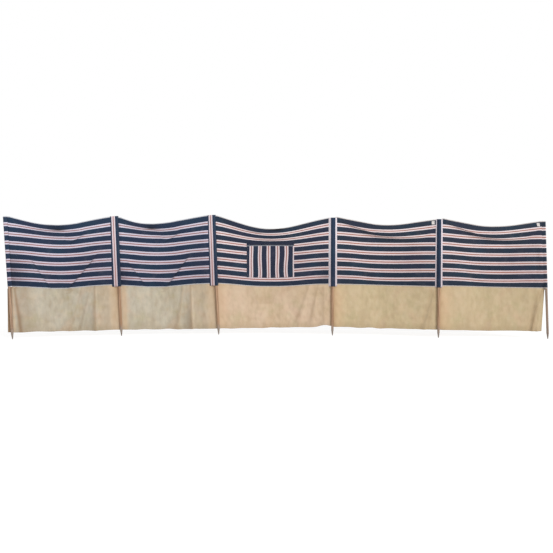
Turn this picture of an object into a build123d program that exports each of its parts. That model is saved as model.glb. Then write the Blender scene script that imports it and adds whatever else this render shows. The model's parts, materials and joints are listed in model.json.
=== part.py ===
from build123d import *
import os
from dataclasses import dataclass
from math import acos, atan2, cos, hypot, log, pi, radians, sin, tan

# Beach windbreak: six pointed wooden poles carry five bays of striped canvas, with a
# plain canvas ground flap sewn under it. The cloth passes behind the poles, which stand
# in casings sewn on its front face. The row runs along X, the side with the casings
# faces -Y, and the origin is on the blunt end of the upright fourth pole. All sizes are
# in millimetres.

# ---- poles ----
pole_length = 1370.0
pole_diameter = 28.0
tip_length = 64.0
tip_flat_diameter = 9.0
pole_top_round = 4.0

# ---- cloth ----
cloth_thickness = 2.0
stripe_band = 58.0  # one navy band
stripe_pale = 43.5  # the white, rust and white lines between two navy bands
stripe_edge = 9.0  # the thin pale line along the top and along the seam
navy_bands = 8
top_hem_depth = 34.0
seam_tape_depth = 30.0
flap_hem_depth = 24.0
sewn_gap = 0.3  # between two layers that are sewn together
panel_gap = 0.5  # between two panels that meet edge to edge

# ---- casings round the poles ----
pole_clearance = 0.5
casing_width = 94.0  # at the top of a casing
casing_foot_width = 104.0
casing_margin = 8.0  # the sewn margin down each side of a casing
casing_overrun = 14.0  # how far a casing runs on below the seam
end_hem_width = 46.0  # from the outside of an end pole's hem to its stitch line
end_hem_margin = 8.0  # the sewn layers beside that stitch line
end_hem_lift = 3.0  # how far an end hem stops short of the seam

# ---- pocket on the third bay ----
pocket_bay = 3
pocket_width = 556.0
pocket_depth = 416.0  # mouth to bottom
pocket_bulge = 34.0  # room between the pocket's front and the panel
pocket_place = 0.467  # centre of the pocket as a share of the bay
pocket_below_top = 292.0
pocket_hem_depth = 36.0

# ---- tape tabs at the top edge of the last two bays ----
tab_width = 34.0
tab_height = 40.0
tab_below_top = 22.0
fourth_tab_from_pole = 69.0
fifth_tab_from_pole = 76.0

# ---- how the cloth hangs ----
flat_run = 84.0  # cloth beside each pole that stays flat under the casing
seam_sag = 14.0
hem_sag = 6.0
belly_at_top = 34.0
belly_at_seam = 80.0
belly_at_hem = 48.0

pole_radius = pole_diameter / 2
sleeve_radius = pole_radius + pole_clearance
cover_radius = sleeve_radius + cloth_thickness
cloth_top = pole_length + pole_clearance + cloth_thickness
stripe_repeat = stripe_band + stripe_pale
striped_height = (navy_bands - 1) * stripe_repeat + stripe_band + 2 * stripe_edge
casing_height = striped_height + casing_overrun
end_seam_run = end_hem_width - cover_radius


@dataclass(frozen=True)
class Pole:
    """One pole: where its tip stands, how far it leans to the left, and the cloth there."""

    x: float
    y: float
    z: float
    lean: float
    flap_clear: float  # from the tip up to the flap's lower edge
    casing_top: float = 0.0  # how far left of the pole's line its casing's middle is
    casing_foot: float = 0.0

    def at_height(self, z):
        """The pole's centre line where it is at height z."""
        return self.x - tan(radians(self.lean)) * (z - self.z)

    def along(self, distance):
        """The height of a point that far up the pole from its tip."""
        return self.z + distance * cos(radians(self.lean))

    def below_top(self, distance):
        """The height of a point that far down the pole from the top of the cloth."""
        return self.along(cloth_top - distance)

    def cloth_face(self):
        """Where the front of the cloth passes behind the pole."""
        return self.y + sleeve_radius

    def stand(self, piece):
        """Set a piece made round the Z axis on this pole's own line."""
        return Pos(self.x, self.y, self.z) * Rot(0, -self.lean, 0) * piece


@dataclass(frozen=True)
class Stop:
    """How far a bay's cloth stops short of a pole's line; below zero it runs past it."""

    striped: float
    flap_top: float
    flap_bottom: float


@dataclass(frozen=True)
class Bay:
    """The cloth between two poles, and how far its top edge sags and where."""

    left: Pole
    right: Pole
    sag: float
    lowest: float  # place of the lowest point as a share of the bay
    left_stop: Stop
    right_stop: Stop


poles = [
    Pole(-3600.0, -350.0, 0.0, 3.0, 76.0),
    Pole(-2430.0, -135.0, 12.0, 2.3, 70.0, 14.0, 23.0),
    Pole(-1315.0, -125.0, 26.0, 2.7, 68.0, 10.0, 27.0),
    Pole(0.0, 0.0, 0.0, 0.0, 100.0, -2.0, -2.0),
    Pole(1225.0, -55.0, -20.0, 0.0, 92.0, -2.0, -2.0),
    Pole(2515.0, 0.0, -40.0, 2.6, 88.0),
]
at_end_hem = end_seam_run + sewn_gap
left_end = Stop(at_end_hem, -17.0, -48.0)  # the flap hangs plumb past the leaning pole
right_end = Stop(at_end_hem, 15.0, 70.0)  # the flap swings clear of the pole
inner = Stop(panel_gap / 2, panel_gap / 2, panel_gap / 2)
bays = [
    Bay(poles[0], poles[1], 107.0, 0.46, left_end, inner),
    Bay(poles[1], poles[2], 95.0, 0.42, inner, inner),
    Bay(poles[2], poles[3], 130.0, 0.50, inner, inner),
    Bay(poles[3], poles[4], 82.0, 0.51, inner, inner),
    Bay(poles[4], poles[5], 82.0, 0.50, inner, right_end),
]

band_top = max(pole.below_top(0) for pole in poles) + 20.0
band_middle = poles[3].below_top(striped_height)
band_bottom = min(pole.z for pole in poles)
cut_reach = 1500.0  # how far the cutting outlines reach along Y
cut_margin = 80.0  # how far they reach past the poles along X
edge_steps = 8
belly_steps = 4
casing_steps = 3


def droop(share, lowest=0.5):
    """How a slack edge hangs between two poles: 0 at each end, 1 at its lowest point."""
    bent = share ** (log(0.5) / log(lowest))
    return 2 * bent * (1 - bent) + 0.5 * sin(pi * bent) ** 2


def between(first, last, share):
    """The value that far from first to last."""
    return first + (last - first) * share


# ---- the cloth of one bay, cut to shape from a bellied band ----
def band_section(bay, z, stops, belly, offset, thickness):
    """The band's outline at height z: flat beside the poles and bellied between them."""
    left_line, right_line = bay.left.at_height(z), bay.right.at_height(z)
    left_edge, right_edge = left_line + stops[0], right_line - stops[1]
    left_bend = left_line + bay.left_stop.striped + flat_run
    right_bend = right_line - bay.right_stop.striped - flat_run
    faces = []
    for depth in (offset, offset + thickness):
        left_y = bay.left.cloth_face() + depth
        right_y = bay.right.cloth_face() + depth
        curve = []
        for step in range(belly_steps + 1):
            share = step / belly_steps
            y = between(left_y, right_y, share) + belly * droop(share)
            curve.append((between(left_bend, right_bend, share), y, z))
        faces.append(((left_edge, left_y, z), curve, (right_edge, right_y, z)))
    edges = []
    for start, curve, end in faces:
        edges.append(Line(start, curve[0]))
        edges.append(Spline(*curve, tangents=[(1, 0, 0), (1, 0, 0)]))
        edges.append(Line(curve[-1], end))
    edges.append(Line(faces[0][0], faces[1][0]))
    edges.append(Line(faces[0][2], faces[1][2]))
    return make_face(edges)


def band(bay, offset, thickness, flap=False):
    """A bay's full height of cloth, offset behind (or, below zero, before) its front face."""
    sides = (bay.left_stop, bay.right_stop)
    upper = [side.flap_top if flap else side.striped for side in sides]
    lower = [side.flap_bottom if flap else side.striped for side in sides]
    levels = [
        (band_bottom, lower, belly_at_hem),
        (band_middle, upper, belly_at_seam),
        (band_top, upper, belly_at_top),
    ]
    sections = []
    for z, stops, belly in levels:
        sections.append(band_section(bay, z, stops, belly, offset, thickness))
    return loft(sections)


def hanging_edge(bay, left_z, right_z, sag):
    """Points along a slack edge from the left pole to the right one, in the XZ plane."""
    points = []
    for step in range(edge_steps + 1):
        share = step / edge_steps
        z = between(left_z, right_z, share) - sag * droop(share, bay.lowest)
        x = between(bay.left.at_height(z), bay.right.at_height(z), share)
        points.append((x, 0, z))
    return points


def block_between(upper, lower):
    """The block between two hanging edges, as deep as the cutting outlines reach."""
    edges = []
    for points in (upper, lower):
        first, last = points[0], points[-1]
        edges.append(Line((first[0] - cut_margin, 0, first[2]), first))
        edges.append(Spline(*points))
        edges.append(Line(last, (last[0] + cut_margin, 0, last[2])))
    for end, side in ((0, -cut_margin), (-1, cut_margin)):
        top, bottom = upper[end], lower[end]
        edges.append(Line((top[0] + side, 0, top[2]), (bottom[0] + side, 0, bottom[2])))
    return extrude(make_face(edges), amount=cut_reach, dir=(0, 1, 0), both=True)


def edge_below_top(bay, distance, sag):
    """A hanging edge that far below the top of the cloth at both poles."""
    return hanging_edge(bay, bay.left.below_top(distance), bay.right.below_top(distance), sag)


def edge_above_tips(bay, rise):
    """A hanging edge that far above the flap's lower edge at both poles."""
    left_z = bay.left.along(bay.left.flap_clear + rise)
    right_z = bay.right.along(bay.right.flap_clear + rise)
    return hanging_edge(bay, left_z, right_z, hem_sag)


def one_solid(shape):
    """The largest solid of a shape, without the slivers that a cut can leave."""
    return max(shape.solids(), key=lambda solid: solid.volume)


def bay_cloth(bay):
    """The five pieces of one bay's cloth: panel, top hem, seam tape, flap and flap hem."""
    top = edge_below_top(bay, 0, bay.sag)
    seam = edge_below_top(bay, striped_height, seam_sag)
    flap_top = edge_below_top(bay, striped_height + sewn_gap, seam_sag)
    flap_bottom = edge_above_tips(bay, 0)
    back = cloth_thickness + sewn_gap
    front_layer = band(bay, 0, cloth_thickness)
    back_layer = band(bay, back, cloth_thickness)
    flap_front = band(bay, 0, cloth_thickness, flap=True)
    flap_back = band(bay, back, cloth_thickness, flap=True)
    pieces = {
        "striped_panel": (front_layer, top, seam),
        "top_hem": (back_layer, top, edge_below_top(bay, top_hem_depth, bay.sag)),
        "seam_tape": (
            back_layer,
            edge_below_top(bay, striped_height - seam_tape_depth / 2, seam_sag),
            edge_below_top(bay, striped_height + seam_tape_depth / 2, seam_sag),
        ),
        "ground_flap": (flap_front, flap_top, flap_bottom),
        "flap_hem": (flap_back, edge_above_tips(bay, flap_hem_depth), flap_bottom),
    }
    return {
        name: one_solid(layer & block_between(upper, lower))
        for name, (layer, upper, lower) in pieces.items()
    }


# ---- poles and casings ----
def pole_piece():
    """A round pole with a long pointed tip and a slightly rounded top."""
    shaft_length = pole_length - tip_length
    shaft = Pos(0, 0, tip_length + shaft_length / 2) * Cylinder(pole_radius, shaft_length)
    tip = Pos(0, 0, tip_length / 2) * Cone(tip_flat_diameter / 2, pole_radius, tip_length)
    whole = shaft + tip
    return fillet(whole.edges().sort_by(Axis.Z)[-1], pole_top_round)


def tent(radius, base):
    """A flat outline drawn tight round the pole and a base line behind it."""
    return make_hull(Circle(radius).edges() + base.edges())


def touch_point(corner_x, corner_y, radius):
    """Where a line from a corner behind the pole touches the front of a circle round it."""
    side = 1 if corner_x > 0 else -1
    reach = hypot(corner_x, corner_y)
    angle = atan2(corner_y, abs(corner_x)) - acos(radius / reach)
    return side * radius * cos(angle), radius * sin(angle)


def casing_outline(left_x, right_x, front_y, back_y, radius, z):
    """Cloth drawn tight over the pole from one sewn side to the other, as a flat face."""
    left_x_touch, left_y_touch = touch_point(left_x, front_y, radius)
    right_x_touch, right_y_touch = touch_point(right_x, front_y, radius)
    left_touch = (left_x_touch, left_y_touch, z)
    right_touch = (right_x_touch, right_y_touch, z)
    return make_face(
        [
            Line((left_x, back_y, z), (left_x, front_y, z)),
            Line((left_x, front_y, z), left_touch),
            ThreePointArc(left_touch, (0, -radius, z), right_touch),
            Line(right_touch, (right_x, front_y, z)),
            Line((right_x, front_y, z), (right_x, back_y, z)),
            Line((right_x, back_y, z), (left_x, back_y, z)),
        ]
    )


def casing_piece(pole):
    """A casing that runs over the front of a pole, a little askew to it and wider below."""
    front_y = sleeve_radius - sewn_gap - cloth_thickness
    back_y = sleeve_radius - sewn_gap
    foot, top = cloth_top - casing_height, cloth_top - cloth_thickness
    outer, inner_way = [], []
    for step in range(casing_steps + 1):
        share = step / casing_steps
        z = between(foot, top, share)
        width = between(casing_foot_width, casing_width, share)
        shift = between(pole.casing_foot, pole.casing_top, share)
        left_x, right_x = -shift - width / 2, -shift + width / 2
        outer.append(casing_outline(left_x, right_x, front_y, back_y, cover_radius, z))
        left_in, right_in = left_x + casing_margin, right_x - casing_margin
        inner_way.append(
            casing_outline(left_in, right_in, back_y - sewn_gap, back_y, sleeve_radius, z)
        )
    tube = loft(outer, ruled=True) - loft(inner_way, ruled=True)
    lid = extrude(outer[-1], amount=cloth_thickness, dir=(0, 0, 1))
    return one_solid(tube + lid)


def end_hem_piece(side):
    """The cloth folded round an end pole and sewn to itself; side is 1 towards +X."""
    outer_run, back_y = end_seam_run, sleeve_radius + cloth_thickness / 2
    base = Pos(side * outer_run / 2, back_y) * Rectangle(outer_run, cloth_thickness)
    inner_run = outer_run - end_hem_margin
    inner_base = Pos(side * inner_run / 2, sleeve_radius - 1) * Rectangle(inner_run, 2)
    outline = tent(cover_radius, base)
    walls = outline - tent(sleeve_radius, inner_base)
    height = striped_height - end_hem_lift
    tube = Pos(0, 0, cloth_top - height) * extrude(walls, amount=height - cloth_thickness)
    lid = Pos(0, 0, cloth_top - cloth_thickness) * extrude(outline, amount=cloth_thickness)
    return one_solid(tube + lid)


# ---- pocket ----
def pocket_edge(bay, distance, width, reach):
    """A straight level edge across the pocket's place, distance below the cloth's top."""
    left_z = bay.left.below_top(distance)
    right_z = bay.right.below_top(distance)
    z = between(left_z, right_z, pocket_place)
    middle = between(bay.left.at_height(z), bay.right.at_height(z), pocket_place)
    half = width / 2 - reach
    return [(middle - half, 0, z), (middle + half, 0, z)]


def pocket_block(bay, top, bottom, inset):
    """The upright block that a pocket piece is cut with."""
    upper = pocket_edge(bay, top, pocket_width, inset)
    lower = pocket_edge(bay, bottom, pocket_width, inset)
    outline = make_face(Polyline(*upper, *reversed(lower), close=True))
    return extrude(outline, amount=cut_reach, dir=(0, 1, 0), both=True)


def pocket_pieces():
    """The patch pocket, open at its top, and the hem folded inside its mouth."""
    bay = bays[pocket_bay - 1]
    bottom = pocket_below_top + pocket_depth
    wall = cloth_thickness
    room = band(bay, -sewn_gap - pocket_bulge, pocket_bulge + 2 * sewn_gap)
    shell = band(bay, -sewn_gap - pocket_bulge - wall, pocket_bulge + wall)
    pocket = shell & pocket_block(bay, pocket_below_top, bottom, 0)
    pocket = pocket - (room & pocket_block(bay, pocket_below_top - wall, bottom - wall, wall))
    lining = band(bay, -pocket_bulge, wall)
    hem_bottom = pocket_below_top + pocket_hem_depth
    hem = lining & pocket_block(bay, pocket_below_top, hem_bottom, wall + sewn_gap)
    return one_solid(pocket), one_solid(hem)


def tab_piece(bay, from_pole):
    """A short tape tab sewn on the front at the top edge, left of the bay's right pole."""
    z = bay.right.below_top(tab_below_top + tab_height / 2)
    x = bay.right.at_height(z) - from_pole
    block = Pos(x, 0, z) * Box(tab_width, 2 * cut_reach, tab_height)
    return one_solid(band(bay, -sewn_gap - cloth_thickness, cloth_thickness) & block)


# ---- the whole row ----
parts = {}
for number, pole in enumerate(poles, start=1):
    parts[f"pole_{number}"] = pole.stand(pole_piece())
    if 1 < number < len(poles):
        parts[f"pole_casing_{number}"] = pole.stand(casing_piece(pole))
parts["left_end_hem"] = poles[0].stand(end_hem_piece(1))
parts["right_end_hem"] = poles[-1].stand(end_hem_piece(-1))
for number, bay in enumerate(bays, start=1):
    for name, piece in bay_cloth(bay).items():
        parts[f"{name}_{number}"] = piece
parts["pocket"], parts["pocket_hem"] = pocket_pieces()
parts["tape_tab_4"] = tab_piece(bays[3], fourth_tab_from_pole)
parts["tape_tab_5"] = tab_piece(bays[4], fifth_tab_from_pole)

os.makedirs("parts", exist_ok=True)
for name, piece in parts.items():
    export_step(piece, f"parts/{name}.step")
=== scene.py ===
import json
import logging
import math
from dataclasses import dataclass, field, replace
from enum import Enum

import bpy
import numpy as np
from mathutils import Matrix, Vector


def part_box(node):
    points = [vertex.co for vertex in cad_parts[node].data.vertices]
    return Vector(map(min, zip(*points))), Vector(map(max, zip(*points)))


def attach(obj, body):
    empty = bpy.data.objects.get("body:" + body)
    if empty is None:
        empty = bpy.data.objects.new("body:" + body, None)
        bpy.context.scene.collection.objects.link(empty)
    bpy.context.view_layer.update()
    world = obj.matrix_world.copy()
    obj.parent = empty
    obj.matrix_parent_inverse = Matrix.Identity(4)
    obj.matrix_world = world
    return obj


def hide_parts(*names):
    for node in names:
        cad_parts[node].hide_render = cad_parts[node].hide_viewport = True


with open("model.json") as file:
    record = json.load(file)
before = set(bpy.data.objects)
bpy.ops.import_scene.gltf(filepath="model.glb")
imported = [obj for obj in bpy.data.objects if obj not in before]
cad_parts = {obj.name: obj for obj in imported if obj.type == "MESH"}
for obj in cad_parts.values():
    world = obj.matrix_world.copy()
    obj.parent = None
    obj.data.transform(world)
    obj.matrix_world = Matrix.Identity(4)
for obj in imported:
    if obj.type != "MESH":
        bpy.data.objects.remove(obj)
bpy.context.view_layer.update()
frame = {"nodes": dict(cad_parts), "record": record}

# Beach windbreak: six pointed poles carry five bays of striped canvas with a plain flap
# sewn under it. The cloth passes behind the poles, which stand in casings sewn on its
# front, and bellies away from the viewer, towards +Y. All sizes are in metres. On every
# piece of cloth the UV map is the flat cloth itself: across it, and down it.

LOG = logging.getLogger("windbreak")
UV_NAME = "cloth"

# ---- sizes that several pieces share ----
CLOTH_TOP = 1.3725  # from a pole's tip up to the top edge of the cloth
FACE = 0.0145  # the cloth's front face behind a pole's line
LAYER = 0.0012  # thickness of one layer of canvas
SEWN = 0.0003  # room between two layers that are sewn together
JOINED = 0.0001  # room between the panel's lower edge and the flap
SEWN_IN = 0.004  # from a sewn edge to its line of stitches
PROUD = 0.0002  # how far a thread stands off the cloth
END_FORWARD = 0.020  # how far forward of the other poles' cloth it goes round an end pole
END_STOP = 0.0298  # from an end pole's line to the end of the striped cloth
ROUND_POLE = 0.016  # radius of the cloth that goes over a pole
BAND = 0.058  # one navy band
LINE = 0.0155  # one white line
MIDDLE_LINE = 0.0125  # the rust line between two white ones
EDGE = 0.009  # the white line along the top and along the seam
BANDS = 8
REPEAT = BAND + 2 * LINE + MIDDLE_LINE
STRIPED = (BANDS - 1) * REPEAT + BAND + 2 * EDGE


# ---------------------------------------------------------------- small helpers
def smooth(value: np.ndarray | float) -> np.ndarray | float:
    """A smooth step from 0 to 1 as the value goes from 0 to 1."""
    x = np.clip(value, 0.0, 1.0)
    return x * x * (3 - 2 * x)


def rise(value: np.ndarray | float) -> np.ndarray | float:
    """A soft step from 0 to 1, half way up where the value is 0."""
    return 0.5 * (1 + np.tanh(value))


def hang(share: np.ndarray | float, lowest: float = 0.5) -> np.ndarray | float:
    """How a slack edge hangs between two poles.

    Args:
        share: place along the edge, from 0 at one pole to 1 at the other.
        lowest: the place of the edge's lowest point.

    Returns:
        The drop, from 0 at each pole to 1 at the lowest point.
    """
    bent = np.clip(share, 1e-6, 1.0) ** (math.log(0.5) / math.log(lowest))
    return 2 * bent * (1 - bent) + 0.5 * np.sin(math.pi * bent) ** 2


def end_drift(below: np.ndarray | float) -> np.ndarray | float:
    """How far forward of the other poles' cloth it is sewn round an end pole."""
    return END_FORWARD * (1 - smooth((below - 0.68) / 0.09))


def tone(red: float, green: float, blue: float) -> tuple[float, float, float, float]:
    """A colour given in screen values from 0 to 255, as the shaders' linear one."""
    parts = (value / 255 for value in (red, green, blue))
    line = (p / 12.92 if p <= 0.04045 else ((p + 0.055) / 1.055) ** 2.4 for p in parts)
    return (*line, 1.0)


@dataclass(frozen=True)
class Ripples:
    """Small irregular waves in a sheet of cloth."""

    seed: int
    height: float
    longest: float
    shortest: float
    count: int = 14
    upright: float = 1.0  # above 1 the waves run more down the cloth than across it

    def at(self, across: np.ndarray, down: np.ndarray) -> np.ndarray:
        """The height of the waves.

        Args:
            across: places across the cloth.
            down: places down the cloth.

        Returns:
            The waves' height at each place.
        """
        dice = np.random.default_rng(self.seed)
        total = np.zeros(np.broadcast(across, down).shape)
        for _ in range(self.count):
            length = self.shortest * (self.longest / self.shortest) ** dice.random()
            angle = dice.random() * math.pi
            phase = dice.random() * 2 * math.pi
            along = np.array([math.cos(angle), math.sin(angle) / self.upright])
            wave = 2 * math.pi / length
            total += length / self.longest * np.sin(
                wave * (along[0] * across + along[1] * down) + phase
            )
        return total * self.height / math.sqrt(self.count)


# ---------------------------------------------------------------- shader helpers
class Nodes:
    """A tree of shader nodes, and the nodes that are added to it."""

    def __init__(self, tree: bpy.types.NodeTree):
        """Start on a material's or the sky's tree."""
        self.tree = tree

    def node(self, kind: str, **values: object) -> bpy.types.Node:
        """Add a node.

        Args:
            kind: the node's type, without its ShaderNode.
            values: the node's own settings.

        Returns:
            The node.
        """
        made = self.tree.nodes.new("ShaderNode" + kind)
        for name, value in values.items():
            setattr(made, name, value)
        return made

    def feed(self, socket: bpy.types.NodeSocket, value: object) -> None:
        """Link a socket to another one, or set it to a plain value."""
        if isinstance(value, bpy.types.NodeSocket):
            self.tree.links.new(value, socket)
        else:
            socket.default_value = value

    def math(self, operation: str, *values: object) -> bpy.types.NodeSocket:
        """A Math node's result.

        Args:
            operation: the node's operation.
            values: sockets or numbers for its inputs.

        Returns:
            The socket with the result.
        """
        made = self.node("Math", operation=operation)
        for socket, value in zip(made.inputs, values):
            self.feed(socket, value)
        return made.outputs[0]

    def mix(
        self, share: object, first: object, second: object, blend: str = "MIX"
    ) -> bpy.types.NodeSocket:
        """Mix two colours.

        Args:
            share: how much of the second one, as a socket or a number.
            first: the first colour.
            second: the second colour.
            blend: the node's way of blending.

        Returns:
            The socket with the colour.
        """
        made = self.node("Mix", data_type="RGBA", blend_type=blend)
        self.feed(made.inputs[0], share)
        self.feed(made.inputs[6], first)
        self.feed(made.inputs[7], second)
        return made.outputs[2]

    def between(
        self, value: object, low: float, high: float, first: float = 0.0, last: float = 1.0
    ) -> bpy.types.NodeSocket:
        """Map a value smoothly from one range to another.

        Args:
            value: the socket to map.
            low: the value that gives first.
            high: the value that gives last.
            first: result at low and below.
            last: result at high and above.

        Returns:
            The socket with the result.
        """
        made = self.node("MapRange", interpolation_type="SMOOTHSTEP")
        for socket, number in zip(made.inputs, (value, low, high, first, last)):
            self.feed(socket, number)
        return made.outputs[0]

    def seen_directly(self) -> bpy.types.NodeSocket:
        """1 for what the camera sees directly, in gloss or through glass, else 0."""
        rays = self.node("LightPath").outputs
        seen = self.math("MAXIMUM", rays["Is Camera Ray"], rays["Is Glossy Ray"])
        return self.math("MAXIMUM", seen, rays["Is Transmission Ray"])


class Shader(Nodes):
    """One material and the nodes that are added to it."""

    def __init__(self, name: str, roughness: float, sheen: float = 0.0, specular: float = 0.3):
        """Make the material.

        Args:
            name: the material's name.
            roughness: of the whole surface.
            sheen: how much soft sheen cloth has.
            specular: the level of gloss.
        """
        self.material = bpy.data.materials.new(name)
        self.material.use_nodes = True
        super().__init__(self.material.node_tree)
        self.surface = self.tree.nodes["Principled BSDF"].inputs
        self.feed(self.surface["Roughness"], roughness)
        self.feed(self.surface["Sheen Weight"], sheen)
        self.feed(self.surface["Sheen Roughness"], 0.6)
        self.feed(self.surface["Specular IOR Level"], specular)

    def wash(
        self, colour: object, value: object, low: float, high: float, shade: tuple,
        most: float = 1.0, least: float = 0.0, blend: str = "MIX",
    ) -> bpy.types.NodeSocket:
        """Lay another colour over one, as far as a value has gone from one level to another.

        Args:
            colour: the colour below.
            value: the socket that says where.
            low: the value at which the share is least.
            high: the value at which it is most.
            shade: the colour laid over it, in screen values.
            most: the share at high and above.
            least: the share at low and below.
            blend: the way of blending.

        Returns:
            The socket with the colour.
        """
        return self.mix(self.between(value, low, high, least, most), colour, tone(*shade), blend)

    def noise(
        self, place: object, scale: float, detail: float = 3.0,
        stretch: tuple = (1, 1, 1), seed: float = 0.0,
    ) -> bpy.types.NodeSocket:
        """Noise from about 0 to 1.

        Args:
            place: the coordinates that it reads.
            scale: noise scale.
            detail: octaves.
            stretch: scale along each axis.
            seed: moves the pattern to another place.

        Returns:
            The socket with the noise.
        """
        moved = self.node("Mapping")
        self.feed(moved.inputs["Vector"], place)
        self.feed(moved.inputs["Scale"], stretch)
        self.feed(moved.inputs["Location"], (seed, seed * 1.7, seed * 0.6))
        made = self.node("TexNoise")
        for name, value in (("Vector", moved.outputs[0]), ("Scale", scale), ("Detail", detail)):
            self.feed(made.inputs[name], value)
        return made.outputs["Fac"]

    def flat_place(self) -> tuple[bpy.types.NodeSocket, bpy.types.NodeSocket, bpy.types.NodeSocket]:
        """The cloth's UV place: the whole vector, across it and down it."""
        place = self.node("UVMap", uv_map=UV_NAME).outputs[0]
        split = self.node("SeparateXYZ")
        self.feed(split.inputs[0], place)
        return place, split.outputs[0], split.outputs[1]

    def mark(self, name: str) -> bpy.types.NodeSocket:
        """A named share that the mesh carries at each of its points."""
        return self.node("Attribute", attribute_name=name).outputs["Fac"]

    def bump(self, height: object, strength: float, distance: float) -> None:
        """Put a bump on the surface, over any that is there.

        Args:
            height: the socket with the height.
            strength: the bump's strength.
            distance: the height of the relief, in metres.
        """
        made = self.node("Bump")
        for name, value in (("Strength", strength), ("Distance", distance), ("Height", height)):
            self.feed(made.inputs[name], value)
        normal = self.surface["Normal"]
        if normal.links:
            self.feed(made.inputs["Normal"], normal.links[0].from_socket)
        self.feed(normal, made.outputs[0])

    def finish(self, colour: object) -> bpy.types.Material:
        """Give the surface its colour and return the material."""
        self.feed(self.surface["Base Color"], colour)
        return self.material


# ---------------------------------------------------------------- finishes
class Run(Enum):
    """Which way the stripes run on a piece."""

    ALONG = "along"  # across the bay, as on the panels
    UPRIGHT = "upright"  # up and down, as on the casings and the pocket


def weave(shader: Shader, across: object, down: object, pitch: float) -> bpy.types.NodeSocket:
    """The height of a plain weave's threads.

    Args:
        shader: the material that it is added to.
        across: place across the cloth.
        down: place down the cloth.
        pitch: distance from thread to thread.

    Returns:
        The socket with the height, from -1 to 1.
    """
    turn = math.pi / pitch
    warp = shader.math("SINE", shader.math("MULTIPLY", across, turn))
    weft = shader.math("SINE", shader.math("MULTIPLY", down, turn))
    return shader.math("MULTIPLY", warp, weft)


@dataclass(frozen=True)
class StripedCanvas:
    """Yarn-dyed cotton canvas with navy bands between white, rust and white lines."""

    name: str = "striped_canvas"
    run: Run = Run.ALONG
    start: float = EDGE  # where the first navy band starts
    edged: bool = True  # with the white line at both selvedges
    cap: float = 0.0  # depth of a navy band laid across the top, with a pale line
    cap_line: float = 0.005
    lip: tuple = (178, 183, 193)  # that pale line's colour
    band: float = BAND
    navy: tuple = (39, 57, 84)
    shaded_low_navy: tuple = (30, 46, 72)  # painted shade: the navy darker near the lower edge
    white: tuple = (231, 224, 241)
    rust: tuple = (172, 120, 116)
    selvedge: tuple = (208, 209, 218)
    thread: float = 0.0011
    fray: float = 0.0016  # how unevenly a stripe's edge runs

    def bands(
        self, shader: Shader, place: object, wobbly: object, down: object
    ) -> bpy.types.NodeSocket:
        """The colour of the repeat.

        Args:
            shader: the material that it is added to.
            place: the coordinates for the dye's own variation.
            wobbly: distance across the stripes.
            down: distance down the cloth.

        Returns:
            The socket with the colour.
        """
        drift = shader.noise(place, 5.0, 2.0, seed=3.0)
        blotch = shader.noise(place, 2.3, 2.0, seed=11.0)
        # painted shade: the navy grows darker down the cloth, towards the lower edge
        low = shader.between(down, 0.05, 0.72)
        navy = shader.mix(low, tone(*self.navy), tone(*self.shaded_low_navy))
        navy = shader.wash(navy, drift, 0.45, 0.72, (34, 63, 84), 0.45)
        navy = shader.wash(navy, blotch, 0.5, 0.72, (48, 50, 76), 0.45)
        shaded = tuple(value - 9 for value in self.white)
        white = shader.wash(tone(*self.white), blotch, 0.4, 0.7, shaded)
        dull = (self.rust[0] - 10, self.rust[1] + 4, self.rust[2] + 6)
        rust = shader.wash(tone(*self.rust), drift, 0.3, 0.7, dull)
        phase = shader.math("SUBTRACT", wobbly, self.start)
        turn = shader.math("FLOORED_MODULO", phase, REPEAT)
        on_navy = shader.math("LESS_THAN", turn, self.band)
        off_line = shader.math("ABSOLUTE", shader.math("SUBTRACT", turn, (BAND + REPEAT) / 2))
        on_rust = shader.math("LESS_THAN", off_line, MIDDLE_LINE / 2)
        colour = shader.mix(on_rust, white, rust)
        # painted shade: the pale lines grow darker down the cloth, towards the lower edge
        colour = shader.wash(colour, down, 0.12, 0.70, (214, 204, 206), 0.55, blend="MULTIPLY")
        colour = shader.mix(on_navy, colour, navy)
        if self.edged:
            half = STRIPED / 2 - EDGE
            off_middle = shader.math("ABSOLUTE", shader.math("SUBTRACT", wobbly, STRIPED / 2))
            on_edge = shader.math("GREATER_THAN", off_middle, half)
            colour = shader.mix(on_edge, colour, tone(*self.selvedge))
        return colour

    def make(self) -> bpy.types.Material:
        """Make the material."""
        shader = Shader(self.name, roughness=0.86, sheen=0.12, specular=0.18)
        place, across, down = shader.flat_place()
        over = down if self.run is Run.ALONG else across
        frayed = shader.noise(place, 900.0, 1.0, seed=5.0)
        wobble = shader.math("MULTIPLY", shader.math("SUBTRACT", frayed, 0.5), self.fray)
        wobbly = shader.math("ADD", over, wobble)
        colour = self.bands(shader, place, wobbly, down)
        if self.cap:
            top = shader.math("LESS_THAN", down, self.cap)
            lip = shader.math("LESS_THAN", down, self.cap + self.cap_line)
            colour = shader.mix(lip, colour, tone(*self.lip))
            colour = shader.mix(top, colour, tone(*self.navy))
        threads = weave(shader, across, down, self.thread)
        drawn = (1, 14, 1) if self.run is Run.ALONG else (14, 1, 1)
        slub = shader.noise(place, 60.0, stretch=drawn, seed=2.0)
        wear = shader.noise(place, 9.0, 4.0, seed=7.0)
        colour = shader.wash(colour, slub, 0.35, 0.75, (120, 120, 128), 0.14, blend="OVERLAY")
        colour = shader.wash(colour, wear, 0.55, 0.8, (200, 196, 198), 0.05)
        colour = shader.mix(shader.math("MULTIPLY_ADD", threads, 0.05, 0.05), colour, tone(20, 24, 34))
        # painted shadow: the fold share darkens the cloth under its creases, where it turns under
        # itself and in shaded corners
        colour = shader.mix(shader.mark("fold"), colour, tone(92, 84, 84), "MULTIPLY")
        shader.bump(threads, 0.22, 0.0003)
        shader.bump(shader.noise(place, 34.0, 3.0, seed=13.0), 0.12, 0.002)
        return shader.finish(colour)


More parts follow.
